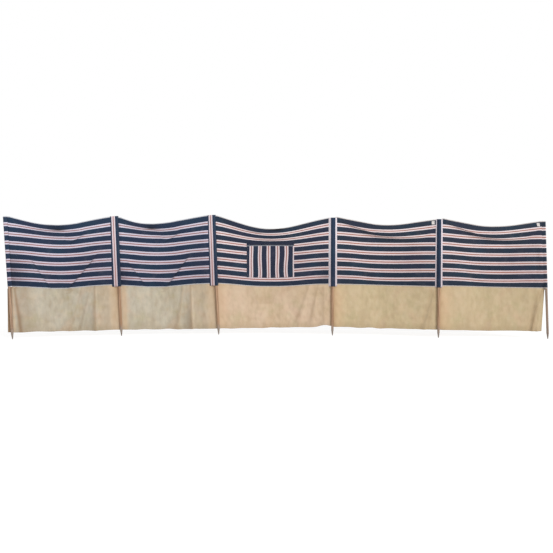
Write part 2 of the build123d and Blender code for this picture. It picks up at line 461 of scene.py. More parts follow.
@dataclass(frozen=True)
class PlainCanvas:
    """Natural unbleached canvas, as on the ground flap."""

    name: str
    cloth: tuple
    shade: tuple
    depth: float = 0.44
    painted_wrinkle_shading: float = 0.12  # how strong the painted shade and painted highlight along its small wrinkles are
    thread: float = 0.0012

    def make(self) -> bpy.types.Material:
        """Make the material."""
        shader = Shader(self.name, roughness=0.9, sheen=0.15, specular=0.15)
        place, across, down = shader.flat_place()
        patch = shader.noise(place, 3.2, 3.0, seed=4.0)
        colour = shader.wash(tone(*self.cloth), patch, 0.35, 0.68, self.shade)
        streak = shader.noise(place, 9.0, 3.0, stretch=(1.0, 0.16, 1), seed=9.0)
        colour = shader.wash(colour, streak, 0.5, 0.8, (176, 152, 122), 0.35)
        green = shader.noise(place, 7.0, 3.0, seed=31.0)
        colour = shader.wash(colour, green, 0.5, 0.72, (186, 180, 138), 0.30)
        pink = shader.noise(place, 6.0, 3.0, seed=47.0)
        colour = shader.wash(colour, pink, 0.5, 0.74, (216, 178, 152), 0.28)
        bent = shader.noise(place, 24.0, 4.0, stretch=(1.0, 0.5, 1), seed=63.0)
        # painted shade and painted highlight along small wrinkles
        colour = shader.wash(colour, bent, 0.50, 0.68, (160, 138, 106), self.painted_wrinkle_shading)
        colour = shader.wash(colour, bent, 0.36, 0.50, (232, 218, 192), 0.0, self.painted_wrinkle_shading)
        slub = shader.noise(place, 55.0, 3.0, stretch=(1, 12, 1), seed=1.0)
        colour = shader.wash(colour, slub, 0.4, 0.75, (170, 148, 112), 0.18)
        fleck = shader.noise(place, 260.0, 2.0, seed=21.0)
        colour = shader.wash(colour, fleck, 0.66, 0.76, (150, 122, 84), 0.3)
        # painted shade in brown: the fold share, broken up by the streaks, beside the poles and on the
        # folds' shaded flanks
        shade_streaks = shader.math("MULTIPLY_ADD", shader.math("SUBTRACT", streak, 0.5), 1.2, 1.0)
        brown = shader.math("MULTIPLY", shader.mark("fold"), shade_streaks)
        colour = shader.mix(brown, colour, tone(150, 118, 88))
        # painted light: the glow share makes the flap warm and pale
        colour = shader.mix(shader.mark("glow"), colour, tone(222, 186, 146))
        soil = shader.math("ADD", down, shader.math("MULTIPLY", streak, 0.05))
        colour = shader.wash(colour, soil, self.depth - 0.05, self.depth + 0.03, (150, 128, 96), 0.22)
        threads = weave(shader, across, down, self.thread)
        colour = shader.mix(shader.math("MULTIPLY_ADD", threads, 0.04, 0.04), colour, tone(120, 96, 66))
        shader.bump(threads, 0.22, 0.0003)
        shader.bump(shader.noise(place, 30.0, 4.0, seed=6.0), 0.16, 0.002)
        return shader.finish(colour)


@dataclass(frozen=True)
class Tape:
    """Woven cotton tape or thread in one pale colour."""

    name: str
    colour: tuple
    thread: float = 0.0008

    def make(self) -> bpy.types.Material:
        """Make the material."""
        shader = Shader(self.name, roughness=0.8, sheen=0.2, specular=0.2)
        place, across, down = shader.flat_place()
        patch = shader.noise(place, 30.0, 3.0, seed=2.0)
        colour = shader.wash(tone(*self.colour), patch, 0.3, 0.7, (196, 190, 188), 0.35)
        threads = weave(shader, across, down, self.thread)
        raised = shader.math("MULTIPLY_ADD", threads, 0.06, 0.06)
        colour = shader.mix(raised, colour, tone(120, 112, 104))
        shader.bump(threads, 0.3, 0.0003)
        return shader.finish(colour)


@dataclass(frozen=True)
class Thread:
    """Sewing thread."""

    name: str = "sewing_thread"
    colour: tuple = (214, 204, 190)

    def make(self) -> bpy.types.Material:
        """Make the material."""
        shader = Shader(self.name, roughness=0.7, sheen=0.1, specular=0.25)
        place = shader.node("TexCoord").outputs["Object"]
        uneven = shader.noise(place, 120.0, 2.0)
        wear_and_shade = tuple(0.87 * value for value in self.colour)
        colour = shader.wash(tone(*self.colour), uneven, 0.3, 0.7, wear_and_shade)
        shader.bump(shader.noise(place, 2500.0, 1.0), 0.2, 0.0002)
        return shader.finish(colour)


@dataclass(frozen=True)
class PoleWood:
    """Bare turned wood with its grain along the pole and a weathered tip."""

    name: str
    tip: tuple
    lean: float  # radians, top towards -X
    pale: tuple = (196, 162, 134)
    dark: tuple = (150, 117, 92)
    grey: tuple = (150, 143, 138)
    grey_share: float = 0.0  # how weathered the whole pole is
    grey_up: float = 0.13  # how far up the grey of the tip goes

    def make(self) -> bpy.types.Material:
        """Make the material."""
        shader = Shader(self.name, roughness=0.62, specular=0.3)
        stand = shader.node("Mapping", vector_type="TEXTURE")  # from the tip, up the pole
        shader.feed(stand.inputs["Vector"], shader.node("TexCoord").outputs["Object"])
        shader.feed(stand.inputs["Location"], self.tip)
        shader.feed(stand.inputs["Rotation"], (0.0, -self.lean, 0.0))
        place = stand.outputs[0]
        split = shader.node("SeparateXYZ")
        shader.feed(split.inputs[0], place)
        up = split.outputs[2]
        seed = 10 * self.tip[0]
        rings = shader.noise(place, 90.0, 3.0, stretch=(1, 1, 0.035), seed=seed)
        grain = shader.noise(place, 420.0, 2.0, stretch=(1, 1, 0.012), seed=seed)
        broad = shader.noise(place, 5.0, 2.0, stretch=(3, 3, 1), seed=seed)
        colour = shader.wash(tone(*self.pale), rings, 0.36, 0.66, self.dark)
        colour = shader.wash(colour, grain, 0.52, 0.72, (118, 84, 60), 0.45)
        colour = shader.wash(colour, broad, 0.4, 0.7, (184, 148, 118), 0.35)
        knot = shader.node("TexVoronoi", feature="F1")
        sized = shader.node("Mapping")
        shader.feed(sized.inputs["Vector"], place)
        shader.feed(sized.inputs["Scale"], (9.0, 9.0, 2.6))
        shader.feed(knot.inputs["Vector"], sized.outputs[0])
        shader.feed(knot.inputs["Scale"], 1.0)
        colour = shader.wash(colour, knot.outputs["Distance"], 0.05, 0.11, (104, 70, 48), 0.0, 0.8)
        wear_and_shade = shader.math("MULTIPLY_ADD", rings, 0.07, up)
        tip = self.grey_up
        colour = shader.wash(colour, wear_and_shade, tip - 0.05, tip + 0.06, self.grey, self.grey_share, 0.85)
        soil = shader.math("MULTIPLY_ADD", broad, 0.04, up)
        colour = shader.wash(colour, soil, 0.03, 0.075, (96, 84, 74), 0.0, 0.5)
        shader.bump(grain, 0.25, 0.0006)
        shader.bump(rings, 0.15, 0.0012)
        shader.feed(shader.surface["Roughness"], shader.between(rings, 0.3, 0.7, 0.55, 0.72))
        return shader.finish(colour)


# ---------------------------------------------------------------- meshes
def square_off(points: np.ndarray, distance: float) -> np.ndarray:
    """Move a grid of points square to its own surface.

    Args:
        points: rows down the cloth, columns across it, then x, y and z.
        distance: how far behind the front face; below zero, before it.

    Returns:
        The moved grid.
    """
    across = np.gradient(points, axis=1)
    down = np.gradient(points, axis=0)
    normal = np.cross(across, down)
    normal /= np.linalg.norm(normal, axis=2, keepdims=True)
    return points + normal * distance


@dataclass
class Sheet:
    """One piece of cloth: a grid of points on its front face, with its flat places."""

    name: str
    points: np.ndarray
    across: np.ndarray
    down: np.ndarray
    marks: dict = field(default_factory=dict)  # named shares for the finish, one for each point: painted shade and painted light

    def build(self, material: bpy.types.Material) -> bpy.types.Object:
        """Make the piece's object.

        Args:
            material: its finish.

        Returns:
            The object, with its cloth thickness behind the front face.
        """
        rows, columns = self.points.shape[:2]
        index = np.arange(rows * columns).reshape(rows, columns)
        corners = np.stack([index[:-1, :-1], index[1:, :-1], index[1:, 1:], index[:-1, 1:]], -1)
        mesh = bpy.data.meshes.new(self.name)
        mesh.from_pydata(self.points.reshape(-1, 3).tolist(), [], corners.reshape(-1, 4).tolist())
        layer = mesh.uv_layers.new(name=UV_NAME)
        places = np.stack(np.broadcast_arrays(self.across, self.down), -1).reshape(-1, 2)
        layer.uv.foreach_set("vector", places[corners.reshape(-1)].astype(np.float32).ravel())
        for name, share in self.marks.items():
            mark = mesh.attributes.new(name, "FLOAT", "POINT")
            mark.data.foreach_set("value", np.clip(share, 0.0, 1.0).astype(np.float32).ravel())
        mesh.shade_smooth()
        mesh.materials.append(material)
        piece = bpy.data.objects.new(self.name, mesh)
        bpy.context.scene.collection.objects.link(piece)
        wall = piece.modifiers.new("Cloth", "SOLIDIFY")
        wall.thickness = LAYER
        wall.offset = -1.0
        wall.use_rim = True
        return piece

    def line(
        self, row: float | None = None, column: float | None = None, lift: float = 0.0
    ) -> np.ndarray:
        """Points along a sewn line on the front or the back of the piece.

        Args:
            row: place of a line that runs across, as a distance down the cloth.
            column: place of a line that runs down, as a distance across the cloth.
            lift: how far the thread stands off the front face; below zero, behind it.

        Returns:
            The points.
        """
        grid = square_off(self.points, -lift)
        if row is None:
            place, places = column, np.broadcast_to(self.across, grid.shape[:2])
        else:  # turn the grid, so that each of its lines runs down the cloth
            place, places = row, np.broadcast_to(self.down, grid.shape[:2]).T
            grid = grid.transpose(1, 0, 2)
        found = [[np.interp(place, at, line[:, k]) for k in range(3)] for at, line in zip(places, grid)]
        return np.array(found)


# ---------------------------------------------------------------- stitches
@dataclass(frozen=True)
class Stitcher:
    """A sewing machine: puts stitches along lines on the cloth."""

    pitch: float = 0.0048
    length: float = 0.0036
    width: float = 0.0008
    seed: int = 5

    def tree(self, material: bpy.types.Material) -> bpy.types.NodeTree:
        """Make the node group that lays one stitch at each step along every line.

        Args:
            material: the thread's finish.

        Returns:
            The node group.
        """
        tree = bpy.data.node_groups.new(f"stitches_{material.name}", "GeometryNodeTree")
        tree.interface.new_socket("Lines", in_out="INPUT", socket_type="NodeSocketGeometry")
        for name in ("Pitch", "Length", "Width"):
            tree.interface.new_socket(name, in_out="INPUT", socket_type="NodeSocketFloat")
        tree.interface.new_socket("Stitches", in_out="OUTPUT", socket_type="NodeSocketGeometry")
        nodes = tree.nodes
        entry, leave = nodes.new("NodeGroupInput"), nodes.new("NodeGroupOutput")
        curve = nodes.new("GeometryNodeMeshToCurve")
        steps = nodes.new("GeometryNodeResampleCurve")
        steps.mode = "LENGTH"
        ball = nodes.new("GeometryNodeMeshIcoSphere")
        ball.inputs["Radius"].default_value = 0.5
        ball.inputs["Subdivisions"].default_value = 1
        size = nodes.new("ShaderNodeCombineXYZ")
        shape = nodes.new("GeometryNodeTransform")
        tangent = nodes.new("GeometryNodeInputTangent")
        turn = nodes.new("FunctionNodeAlignRotationToVector")
        turn.axis = "X"
        chance = nodes.new("FunctionNodeRandomValue")
        chance.data_type = "FLOAT"
        low, high = [s for s in chance.inputs if s.type == "VALUE" and s.enabled][:2]
        scale = [s for s in chance.outputs if s.type == "VALUE" and s.enabled][0]
        low.default_value, high.default_value = 0.86, 1.08
        chance.inputs["Seed"].default_value = self.seed
        place = nodes.new("GeometryNodeInstanceOnPoints")
        real = nodes.new("GeometryNodeRealizeInstances")
        dress = nodes.new("GeometryNodeSetMaterial")
        dress.inputs["Material"].default_value = material
        for source, target in (
            (entry.outputs["Lines"], curve.inputs["Mesh"]),
            (curve.outputs["Curve"], steps.inputs["Curve"]),
            (entry.outputs["Pitch"], steps.inputs["Length"]),
            (entry.outputs["Length"], size.inputs[0]),
            (entry.outputs["Width"], size.inputs[1]),
            (entry.outputs["Width"], size.inputs[2]),
            (ball.outputs["Mesh"], shape.inputs["Geometry"]),
            (size.outputs[0], shape.inputs["Scale"]),
            (tangent.outputs[0], turn.inputs["Vector"]),
            (steps.outputs["Curve"], place.inputs["Points"]),
            (shape.outputs["Geometry"], place.inputs["Instance"]),
            (turn.outputs["Rotation"], place.inputs["Rotation"]),
            (scale, place.inputs["Scale"]),
            (place.outputs["Instances"], real.inputs["Geometry"]),
            (real.outputs["Geometry"], dress.inputs["Geometry"]),
            (dress.outputs["Geometry"], leave.inputs["Stitches"]),
        ):
            tree.links.new(source, target)
        return tree

    def sew(self, name: str, lines: list[np.ndarray], material: bpy.types.Material) -> bpy.types.Object:
        """Sew along every line.

        Args:
            name: the new object's name.
            lines: each line's points.
            material: the thread's finish.

        Returns:
            One plain mesh object with every stitch.
        """
        points, edges = [], []
        for line in lines:
            first = len(points)
            points += line.tolist()
            edges += [(first + n, first + n + 1) for n in range(len(line) - 1)]
        guide_mesh = bpy.data.meshes.new("guide")
        guide_mesh.from_pydata(points, edges, [])
        guide = bpy.data.objects.new("guide", guide_mesh)
        bpy.context.scene.collection.objects.link(guide)
        group = bpy.data.node_groups.get(f"stitches_{material.name}") or self.tree(material)
        machine = guide.modifiers.new("Stitches", "NODES")
        machine.node_group = group
        pitch = self.pitch * 1
        sizes = {"Pitch": pitch, "Length": self.length, "Width": self.width}
        for socket in group.interface.items_tree:
            if socket.name in sizes:
                machine[socket.identifier] = sizes[socket.name]
        ready = guide.evaluated_get(bpy.context.evaluated_depsgraph_get())
        mesh = bpy.data.meshes.new_from_object(ready)
        mesh.name = name
        bpy.data.objects.remove(guide)
        stitches = bpy.data.objects.new(name, mesh)
        bpy.context.scene.collection.objects.link(stitches)
        return stitches


# ---------------------------------------------------------------- poles
@dataclass(frozen=True)
class PoleLine:
    """One pole's own line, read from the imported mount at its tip."""

    number: int
    tip: np.ndarray
    up: np.ndarray
    flap_clear: float  # from the tip up to the flap's lower edge
    lift: float  # how much higher than its place the cloth is sewn here

    def at(
        self, below: np.ndarray | float, right: np.ndarray | float = 0.0, back: np.ndarray | float = 0.0
    ) -> np.ndarray:
        """Points beside the pole.

        Args:
            below: how far below the top of the cloth.
            right: how far to the right of the pole's line, square to it.
            back: how far behind the pole's line.

        Returns:
            The points, with x, y and z last.
        """
        below, right, back = np.broadcast_arrays(below, right, back)
        up = (CLOTH_TOP - below)[..., None] * self.up
        side = np.array([self.up[2], 0.0, -self.up[0]])
        return self.tip + up + right[..., None] * side + back[..., None] * np.array([0.0, 1.0, 0.0])

    @property
    def node(self) -> str:
        """The name of the pole's own part."""
        return f"pole_{self.number}"


@dataclass(frozen=True)
class PoleSet:
    """The six poles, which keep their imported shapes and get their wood."""

    flap_clear: tuple = (0.076, 0.070, 0.068, 0.100, 0.092, 0.088)
    lift: tuple = (0.006, 0.003, 0.003, 0.011, 0.008, 0.004)
    greyness: tuple = (0.12, 0.0, 0.0, 0.0, 0.0, 0.62)

    def lines(self) -> list[PoleLine]:
        """Read every pole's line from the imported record."""
        found = []
        for number, mount in enumerate(frame["record"]["mounts"], start=1):
            up = -np.array(mount["axis"])
            tip = np.array(mount["pos_m"])
            found.append(PoleLine(number, tip, up, self.flap_clear[number - 1], self.lift[number - 1]))
        return found

    def dress(self, lines: list[PoleLine]) -> None:
        """Give each pole its own piece of wood."""
        for line, grey in zip(lines, self.greyness):
            lean = math.atan2(-line.up[0], line.up[2])
            finish = PoleWood(f"pole_wood_{line.number}", tuple(line.tip), lean, grey_share=grey)
            if grey > 0.5:
                finish = replace(finish, grey=(140, 126, 118))
            wood = finish.make()
            pole = frame["nodes"][line.node]
            for slot in pole.material_slots:
                slot.material = wood
            LOG.info("%s: wood, leaning %.1f degrees", line.node, math.degrees(lean))


# ---------------------------------------------------------------- how the cloth hangs
@dataclass(frozen=True)
class Crease:
    """A fold that runs down the cloth at a slant."""

    start: tuple  # share of the bay, and distance down the cloth
    end: tuple
    depth: float  # how far the fold stands forward
    drop: float  # how much lower the cloth hangs on the middle's side
    width: float = 0.03
    dark: float = 0.0  # how dark the painted shadow line under it is
    line: float = 0.007  # half the width of that line

    def beside(
        self, across: np.ndarray, down: np.ndarray, wide: float
    ) -> tuple[np.ndarray, np.ndarray]:
        """How far each place is from the fold.

        Args:
            across: share of the bay.
            down: distance down the cloth.
            wide: width of the bay.

        Returns:
            The distance towards the middle's side, and a share that fades past both ends.
        """
        start = np.array([self.start[0] * wide, self.start[1]])
        run = np.array([self.end[0] * wide, self.end[1]]) - start
        length = float(np.hypot(*run))
        run = run / length
        px, py = across * wide - start[0], down - start[1]
        along = (px * run[0] + py * run[1]) / length
        off = px * run[1] - py * run[0]  # above zero to the right of the fold
        inward = off if self.start[0] < 0.5 else -off
        return inward, smooth((along + 0.15) / 0.35) * smooth((1.15 - along) / 0.3)

    def shape(self, across: np.ndarray, down: np.ndarray, wide: float) -> tuple[np.ndarray, np.ndarray]:
        """How far the fold brings each place forward, and how far it drops it."""
        inward, ends = self.beside(across, down, wide)
        ridge = np.exp(-((inward / self.width) ** 2)) * ends
        shelf = rise(inward / (0.5 * self.width)) * np.exp(-np.clip(inward, 0, None) / 0.22) * ends
        return self.depth * ridge, self.drop * shelf

    def mark(self, across: np.ndarray, down: np.ndarray, wide: float) -> np.ndarray:
        """How dark the painted shadow line under the fold makes each place."""
        inward, ends = self.beside(across, down, wide)
        return self.dark * ends * np.exp(-(((inward + self.line) / self.line) ** 2))


@dataclass(frozen=True)
class PaintedShade:
    """A patch of painted shade on the striped cloth: under the top where it turns under itself, and in
    shaded corners.
    """

    share: float  # of the bay
    down: float
    wide: float  # half its width
    high: float
    dark: float

    def mark(self, across: np.ndarray, down: np.ndarray, wide: float) -> np.ndarray:
        """How dark it makes each place."""
        off = ((across - self.share) * wide / self.wide) ** 2 + ((down - self.down) / self.high) ** 2
        return self.dark * np.exp(-off)


@dataclass(frozen=True)
class Drape:
    """How one bay of striped cloth hangs between its two poles."""

    top_sag: float
    lowest: float  # place of the top edge's lowest point, as a share of the bay
    ease: float  # share of the top sag that the first 0.11 m takes up
    swag: float  # how far down the cloth the top's slack hangs over
    swag_place: float
    swag_fall: float
    swag_width: float
    low_sag: float
    left_fold: tuple  # place, slant and width of the change from flat to slack cloth
    right_fold: tuple
    left_lift: float
    right_lift: float
    seam_pull: float  # share of the low sag that the seam pulls straight
    belly: float
    crest: tuple  # how much higher the top edge stands, at five even places from the left
    creases: tuple = ()
    painted_shades: tuple = ()

    def slack(self, u: np.ndarray, v: np.ndarray) -> np.ndarray:
        """Share of the change from the hanging top to the flatter cloth below it."""
        side = np.where(
            u < self.swag_place,
            1 - ((u - self.swag_place) / self.swag_place) ** 2,
            1 - self.swag_fall * ((u - self.swag_place) / (1 - self.swag_place)) ** 2,
        )
        place = self.swag * side
        at_top = rise(-place / self.swag_width)
        return (rise((v - place) / self.swag_width) - at_top) / (1 - at_top)

    def sag(self, u: np.ndarray, v: np.ndarray) -> np.ndarray:
        """How far the cloth hangs below the straight line between its poles.

        Args:
            u: share of the bay.
            v: distance down the cloth.

        Returns:
            The drop at each place.
        """
        change = self.slack(u, v)
        top = self.top_sag * hang(u, self.lowest) * (1 - self.ease * v / 0.11)
        left = rise((u - self.left_fold[0] - self.left_fold[1] * (v - 0.4)) / self.left_fold[2])
        right = rise((self.right_fold[0] - self.right_fold[1] * (v - 0.4) - u) / self.right_fold[2])
        pulled = 1 - self.seam_pull * smooth((v - 0.70) / 0.08)
        return top * (1 - change) + self.low_sag * left * right * pulled * change

    def rest(self, u: np.ndarray, v: np.ndarray) -> np.ndarray:
        """How far the first band stands above where the sag alone would leave it."""
        place = 4 * np.clip(u, 0, 1)
        first = np.minimum(place.astype(int), 3)
        heights = np.array(self.crest)
        height = heights[first] + (heights[first + 1] - heights[first]) * smooth(place - first)
        return height * (1 - smooth(v / 0.066))


@dataclass(frozen=True)
class Fold:
    """An upright fold in a ground flap."""

    place: float  # share of the bay
    slant: float  # how far its lower end is to the right of its upper end
    depth: float  # how far it stands forward at the hem; below zero, back
    left: float  # width of its left flank
    right: float
    top: float = 0.1  # share of its depth that it has at the seam

    def shape(self, u: np.ndarray, s: np.ndarray, wide: float) -> np.ndarray:
        """How far the fold stands forward.

        Args:
            u: share of the bay.
            s: share of the way from the seam to the hem.
            wide: width of the bay.

        Returns:
            The height of the fold at each place.
        """
        off = (u - self.place) * wide - self.slant * s
        flank = np.where(off < 0, self.left, self.right)
        deepens = self.top + (1 - self.top) * smooth(s / 0.8)
        return self.depth * np.exp(-np.abs(off / flank) ** 1.7) * deepens


@dataclass(frozen=True)
class Stain:
    """A streak of another colour in a ground flap: brown painted shade, or warm painted light."""

    start: tuple  # share of the bay, and share of the way from the seam to the hem
    end: tuple
    left: float  # how far it fades to its left
    right: float
    strength: float
    lit: bool = False
    widens: float = 0.5  # share of its width that it only gets at its lower end

    def mark(self, u: np.ndarray, s: np.ndarray, wide: float) -> np.ndarray:
        """How strong it is at each place.

        Args:
            u: share of the bay.
            s: share of the way from the seam to the hem.
            wide: width of the bay.

        Returns:
            The share of its colour.
        """
        run = (s - self.start[1]) / (self.end[1] - self.start[1])
        off = (u - self.start[0] - (self.end[0] - self.start[0]) * run) * wide
        grown = 1 - self.widens * (1 - np.clip(run, 0, 1))
        flank = np.where(off < 0, self.left, self.right) * grown
        ends = smooth((run + 0.12) / 0.12) * smooth((1.12 - run) / 0.12)
        return self.strength * ends * np.exp(-((off / flank) ** 2))


@dataclass(frozen=True)
class FlapEnd:
    """How far inside an end pole's line a flap ends, or below zero, outside it."""

    top: float  # at the seam
    bottom: float  # at the flap's lower edge

    def at(self, s: np.ndarray) -> np.ndarray:
        """How far inside it ends at each share of the way down."""
        return self.top + (self.bottom - self.top) * s


@dataclass
class Bay:
    """One bay of the windbreak: its striped panel, its ground flap and their hems."""

    number: int
    left: PoleLine
    right: PoleLine
    drape: Drape
    folds: tuple
    stains: tuple
    flap_finish: PlainCanvas
    cut_width: float  # the flat cloth's width from pole to pole
    flap_cut: float  # the flat flap's depth
    hem_rises: tuple = ()  # places where the flap's lower edge is rucked up
    left_stop: float = 0.00025
    right_stop: float = 0.00025
    left_end: FlapEnd | None = None
    right_end: FlapEnd | None = None
    step: float = 0.008  # of the cloth's grid
    left_flat: float = 0.045  # cloth beside each pole that its casing holds flat
    right_flat: float = 0.055
    hem_belly: float = 0.048  # how far back the flap's lower edge bellies
    hem_sag: float = 0.006
    top_hem: float = 0.034
    seam_tape: float = 0.030
    flap_hem: float = 0.024
    billow: float = 0.007  # height of the panel's broad waves
    wrinkle: float = 0.0022  # height of its small ones
    pucker: float = 0.0012  # height of the puckers along the seam
    pucker_pitch: float = 0.027
    flap_billow: float = 0.006
    flap_wrinkle: float = 0.0034
    pieces: list = field(default_factory=list)

    @property
    def wide(self) -> float:
        """The straight distance between the two poles' lines at the seam."""
        return float(np.linalg.norm(self.right.at(STRIPED) - self.left.at(STRIPED)))

    def spread(self, start: float, end: float, length: float, fewest: int) -> np.ndarray:
        """Even places from start to end, on a length of cloth that is cut into steps.

        Args:
            start: the first place.
            end: the last place.
            length: how long the cloth is from one to the other.
            fewest: the fewest steps.

        Returns:
            The places.
        """
        pace = self.step * 1.0
        return np.linspace(start, end, max(int(length / pace), fewest) + 1)

    def bulge(self, u: np.ndarray) -> np.ndarray:
        """How far back the cloth bellies, from 0 beside the poles to 1 between them."""
        low, high = self.left_flat / self.wide, self.right_flat / self.wide
        share = np.clip((u - low) / (1 - low - high), 0.0, 1.0)
        soft = smooth(np.minimum(share, 1 - share) / 0.05)
        return hang(share) * (0.4 + 0.6 * soft)

    def free(self, u: np.ndarray) -> np.ndarray:
        """How free the cloth is of its casings, from 0 where they hold it flat to 1."""
        left = smooth((u * self.wide - self.left_flat + 0.006) / 0.05)
        return left * smooth(((1 - u) * self.wide - self.right_flat + 0.006) / 0.05)

    def drift(self, u: np.ndarray, v: np.ndarray) -> np.ndarray:
        """How far forward the cloth comes towards the hem round an end pole."""
        share = np.zeros_like(u)
        for end, off in ((self.left_end, u), (self.right_end, 1 - u)):
            if end:
                share = share + 1 - smooth((off * self.wide - 0.03) / 0.25)
        return end_drift(v) * share

    def face(self, u: np.ndarray, v: np.ndarray, puckered: bool = True) -> np.ndarray:
        """The front face of the striped cloth.

        Args:
            u: share of the bay.
            v: distance down the cloth.
            puckered: with the small puckers along the seam.

        Returns:
            The points, with x, y and z last.
        """
        u, v = np.broadcast_arrays(u, v)
        drape, wide = self.drape, self.wide
        left, right = self.left.at(v, back=FACE), self.right.at(v, back=FACE)
        points = left + (right - left) * u[..., None]
        off = np.minimum(u, 1 - u) * wide  # distance from the nearer pole's line
        free = self.free(u)
        own = drape.left_lift * (1 - u) + drape.right_lift * u
        shared = np.where(u < 0.5, self.left.lift, self.right.lift)
        lift = (shared + (own - shared) * smooth(off / 0.045)) * smooth(v / 0.07)
        change = drape.slack(u, v)
        back = drape.belly * self.bulge(u) * (0.14 + 0.86 * change) - self.drift(u, v)
        drop = drape.sag(u, v) - lift - drape.rest(u, v) * smooth((off - 0.01) / 0.045)
        for crease in drape.creases:
            forward, lower = crease.shape(u, v, wide)
            back = back - forward
            drop = drop + lower
        seed = 40 + self.number
        billow = Ripples(seed, self.billow, 0.55, 0.22, upright=1.8).at(u * wide, v)
        wrinkle = Ripples(seed + 10, self.wrinkle, 0.16, 0.05, 18, upright=1.3).at(u * wide, v)
        below_top = smooth(v / 0.10)
        pucker = (self.pucker if puckered else 0.0) * np.exp(-np.abs(v - STRIPED) / 0.02)
        gathers = u * wide / self.pucker_pitch + 0.35 * np.sin(31 * u)  # unevenly spaced
        pucker = pucker * np.sin(2 * math.pi * gathers)
        back = back + (billow * (0.35 + 0.65 * below_top) + wrinkle) * free + pucker * free
        return points + np.stack([np.zeros_like(back), back, -drop], -1)

    def grid(self, v_from: float, v_to: float) -> tuple[np.ndarray, np.ndarray]:
        """Shares of the bay and distances down the cloth for a strip of it.

        Args:
            v_from: upper edge.
            v_to: lower edge.

        Returns:
            The shares as a row and the distances as a column.
        """
        left, right = self.left_stop / self.wide, 1 - self.right_stop / self.wide
        u = self.spread(left, right, self.wide, 20)[None, :]
        return u, self.spread(v_from, v_to, v_to - v_from, 4)[:, None]

    def flap_face(self, u: np.ndarray, s: np.ndarray) -> np.ndarray:
        """The front face of the ground flap.

        Args:
            u: share of the bay.
            s: share of the way from the seam to the lower edge.

        Returns:
            The points, with x, y and z last.
        """
        u, s = np.broadcast_arrays(u, s)
        wide = self.wide
        at_seam = np.full_like(u, STRIPED + JOINED)
        seam = self.face(u, at_seam)
        low_left, low_right = (
            pole.tip + pole.up * pole.flap_clear + np.array([0, FACE, 0])
            for pole in (self.left, self.right)
        )
        hem = low_left + (low_right - low_left) * u[..., None]
        hem[..., 2] -= self.hem_sag * hang(u)
        wave = Ripples(40 + self.number, 0.0035, 0.30, 0.10, 9).at(u * wide, np.zeros_like(u))
        hem[..., 2] += np.clip(wave, -0.0045, 0.0045) * smooth(np.minimum(u, 1 - u) * wide / 0.08)
        for place, height, width in self.hem_rises:
            hem[..., 2] += height * np.exp(-(((u - place) * wide / width) ** 2))
        edges = np.zeros_like(u)
        if self.left_end:
            edges = edges + self.left_end.at(s) * (1 - smooth(u / 0.2))
        if self.right_end:
            edges = edges - self.right_end.at(s) * smooth((u - 0.8) / 0.2)
        points = seam + (hem - seam) * s[..., None]
        points[..., 0] += edges * smooth(s / 0.04)
        calm = self.face(u, at_seam, False)
        seam_back = calm[..., 1] - hem[..., 1]
        near_seam = np.exp(-s * self.flap_cut / 0.03)
        low_back = self.hem_belly * self.bulge(u)
        forward = np.zeros_like(u)
        for fold in self.folds:
            forward = forward + fold.shape(u, s, wide)
        seed = 70 + self.number
        loose = smooth(s / 0.5)
        down = s * self.flap_cut
        hanging = Ripples(seed, self.flap_billow, 0.42, 0.12, 12, upright=5.0).at(u * wide, down)
        wrinkle = Ripples(seed + 9, self.flap_wrinkle, 0.17, 0.05, 18).at(u * wide, down)
        free = smooth((np.minimum(u, 1 - u) * wide - 0.012) / 0.05)  # of the poles
        below_seam = smooth(down / 0.03)
        back = seam_back * (1 - s) + low_back * s + (seam[..., 1] - calm[..., 1]) * near_seam
        back = back + (hanging * loose + wrinkle * below_seam - forward * below_seam) * free
        points[..., 1] = hem[..., 1] + back
        return points

    def strip(self, name: str, v_from: float, v_to: float, behind: float = 0.0) -> Sheet:
        """A strip of the striped cloth's own surface.

        Args:
            name: the piece's name.
            v_from: upper edge.
            v_to: lower edge.
            behind: how far behind the front face it lies.

        Returns:
            The sheet.
        """
        u, v = self.grid(v_from, v_to)
        points = square_off(self.face(u, v), behind)
        # painted shadow: the fold share, under the creases and in the painted shade patches
        dark = sum(mark.mark(u, v, self.wide) for mark in self.drape.creases + self.drape.painted_shades)
        return Sheet(name, points, u * self.wide, v, marks={"fold": dark + np.zeros(points.shape[:2])})

    def flap_strip(self, name: str, s_from: float, s_to: float, behind: float = 0.0) -> Sheet:
        """A strip of the ground flap's own surface, as strip() gives one of the panel."""
        left = 0.0 if self.left_end else self.left_stop / self.wide
        right = 1.0 if self.right_end else 1 - self.right_stop / self.wide
        u = self.spread(left, right, self.wide, 20)[None, :]
        s = self.spread(s_from, s_to, (s_to - s_from) * self.flap_cut, 3)[:, None]
        points = square_off(self.flap_face(u, s), behind)
        # painted shade goes in the fold share, painted light in the glow share
        marks = {"fold": np.zeros(points.shape[:2]), "glow": np.zeros(points.shape[:2])}
        for stain in self.stains:
            marks["glow" if stain.lit else "fold"] += stain.mark(u, s, self.wide)
        return Sheet(name, points, u * self.wide, s * self.flap_cut, marks=marks)

    def place_on(self, x: np.ndarray, z: np.ndarray) -> tuple[np.ndarray, np.ndarray]:
        """Where on the cloth a place in front of it lies.

        Args:
            x: places along the row.
            z: heights.

        Returns:
            The shares of the bay and the distances down the cloth.
        """
        x, z = np.broadcast_arrays(x, z)
        u = np.full(x.shape, 0.5)
        v = np.full(x.shape, 0.4)
        for _ in range(14):
            found = self.face(u, v)
            u = np.clip(u + (x - found[..., 0]) / self.wide, 0.0, 1.0)
            v = v - 0.8 * (z - found[..., 2])
        return u, v

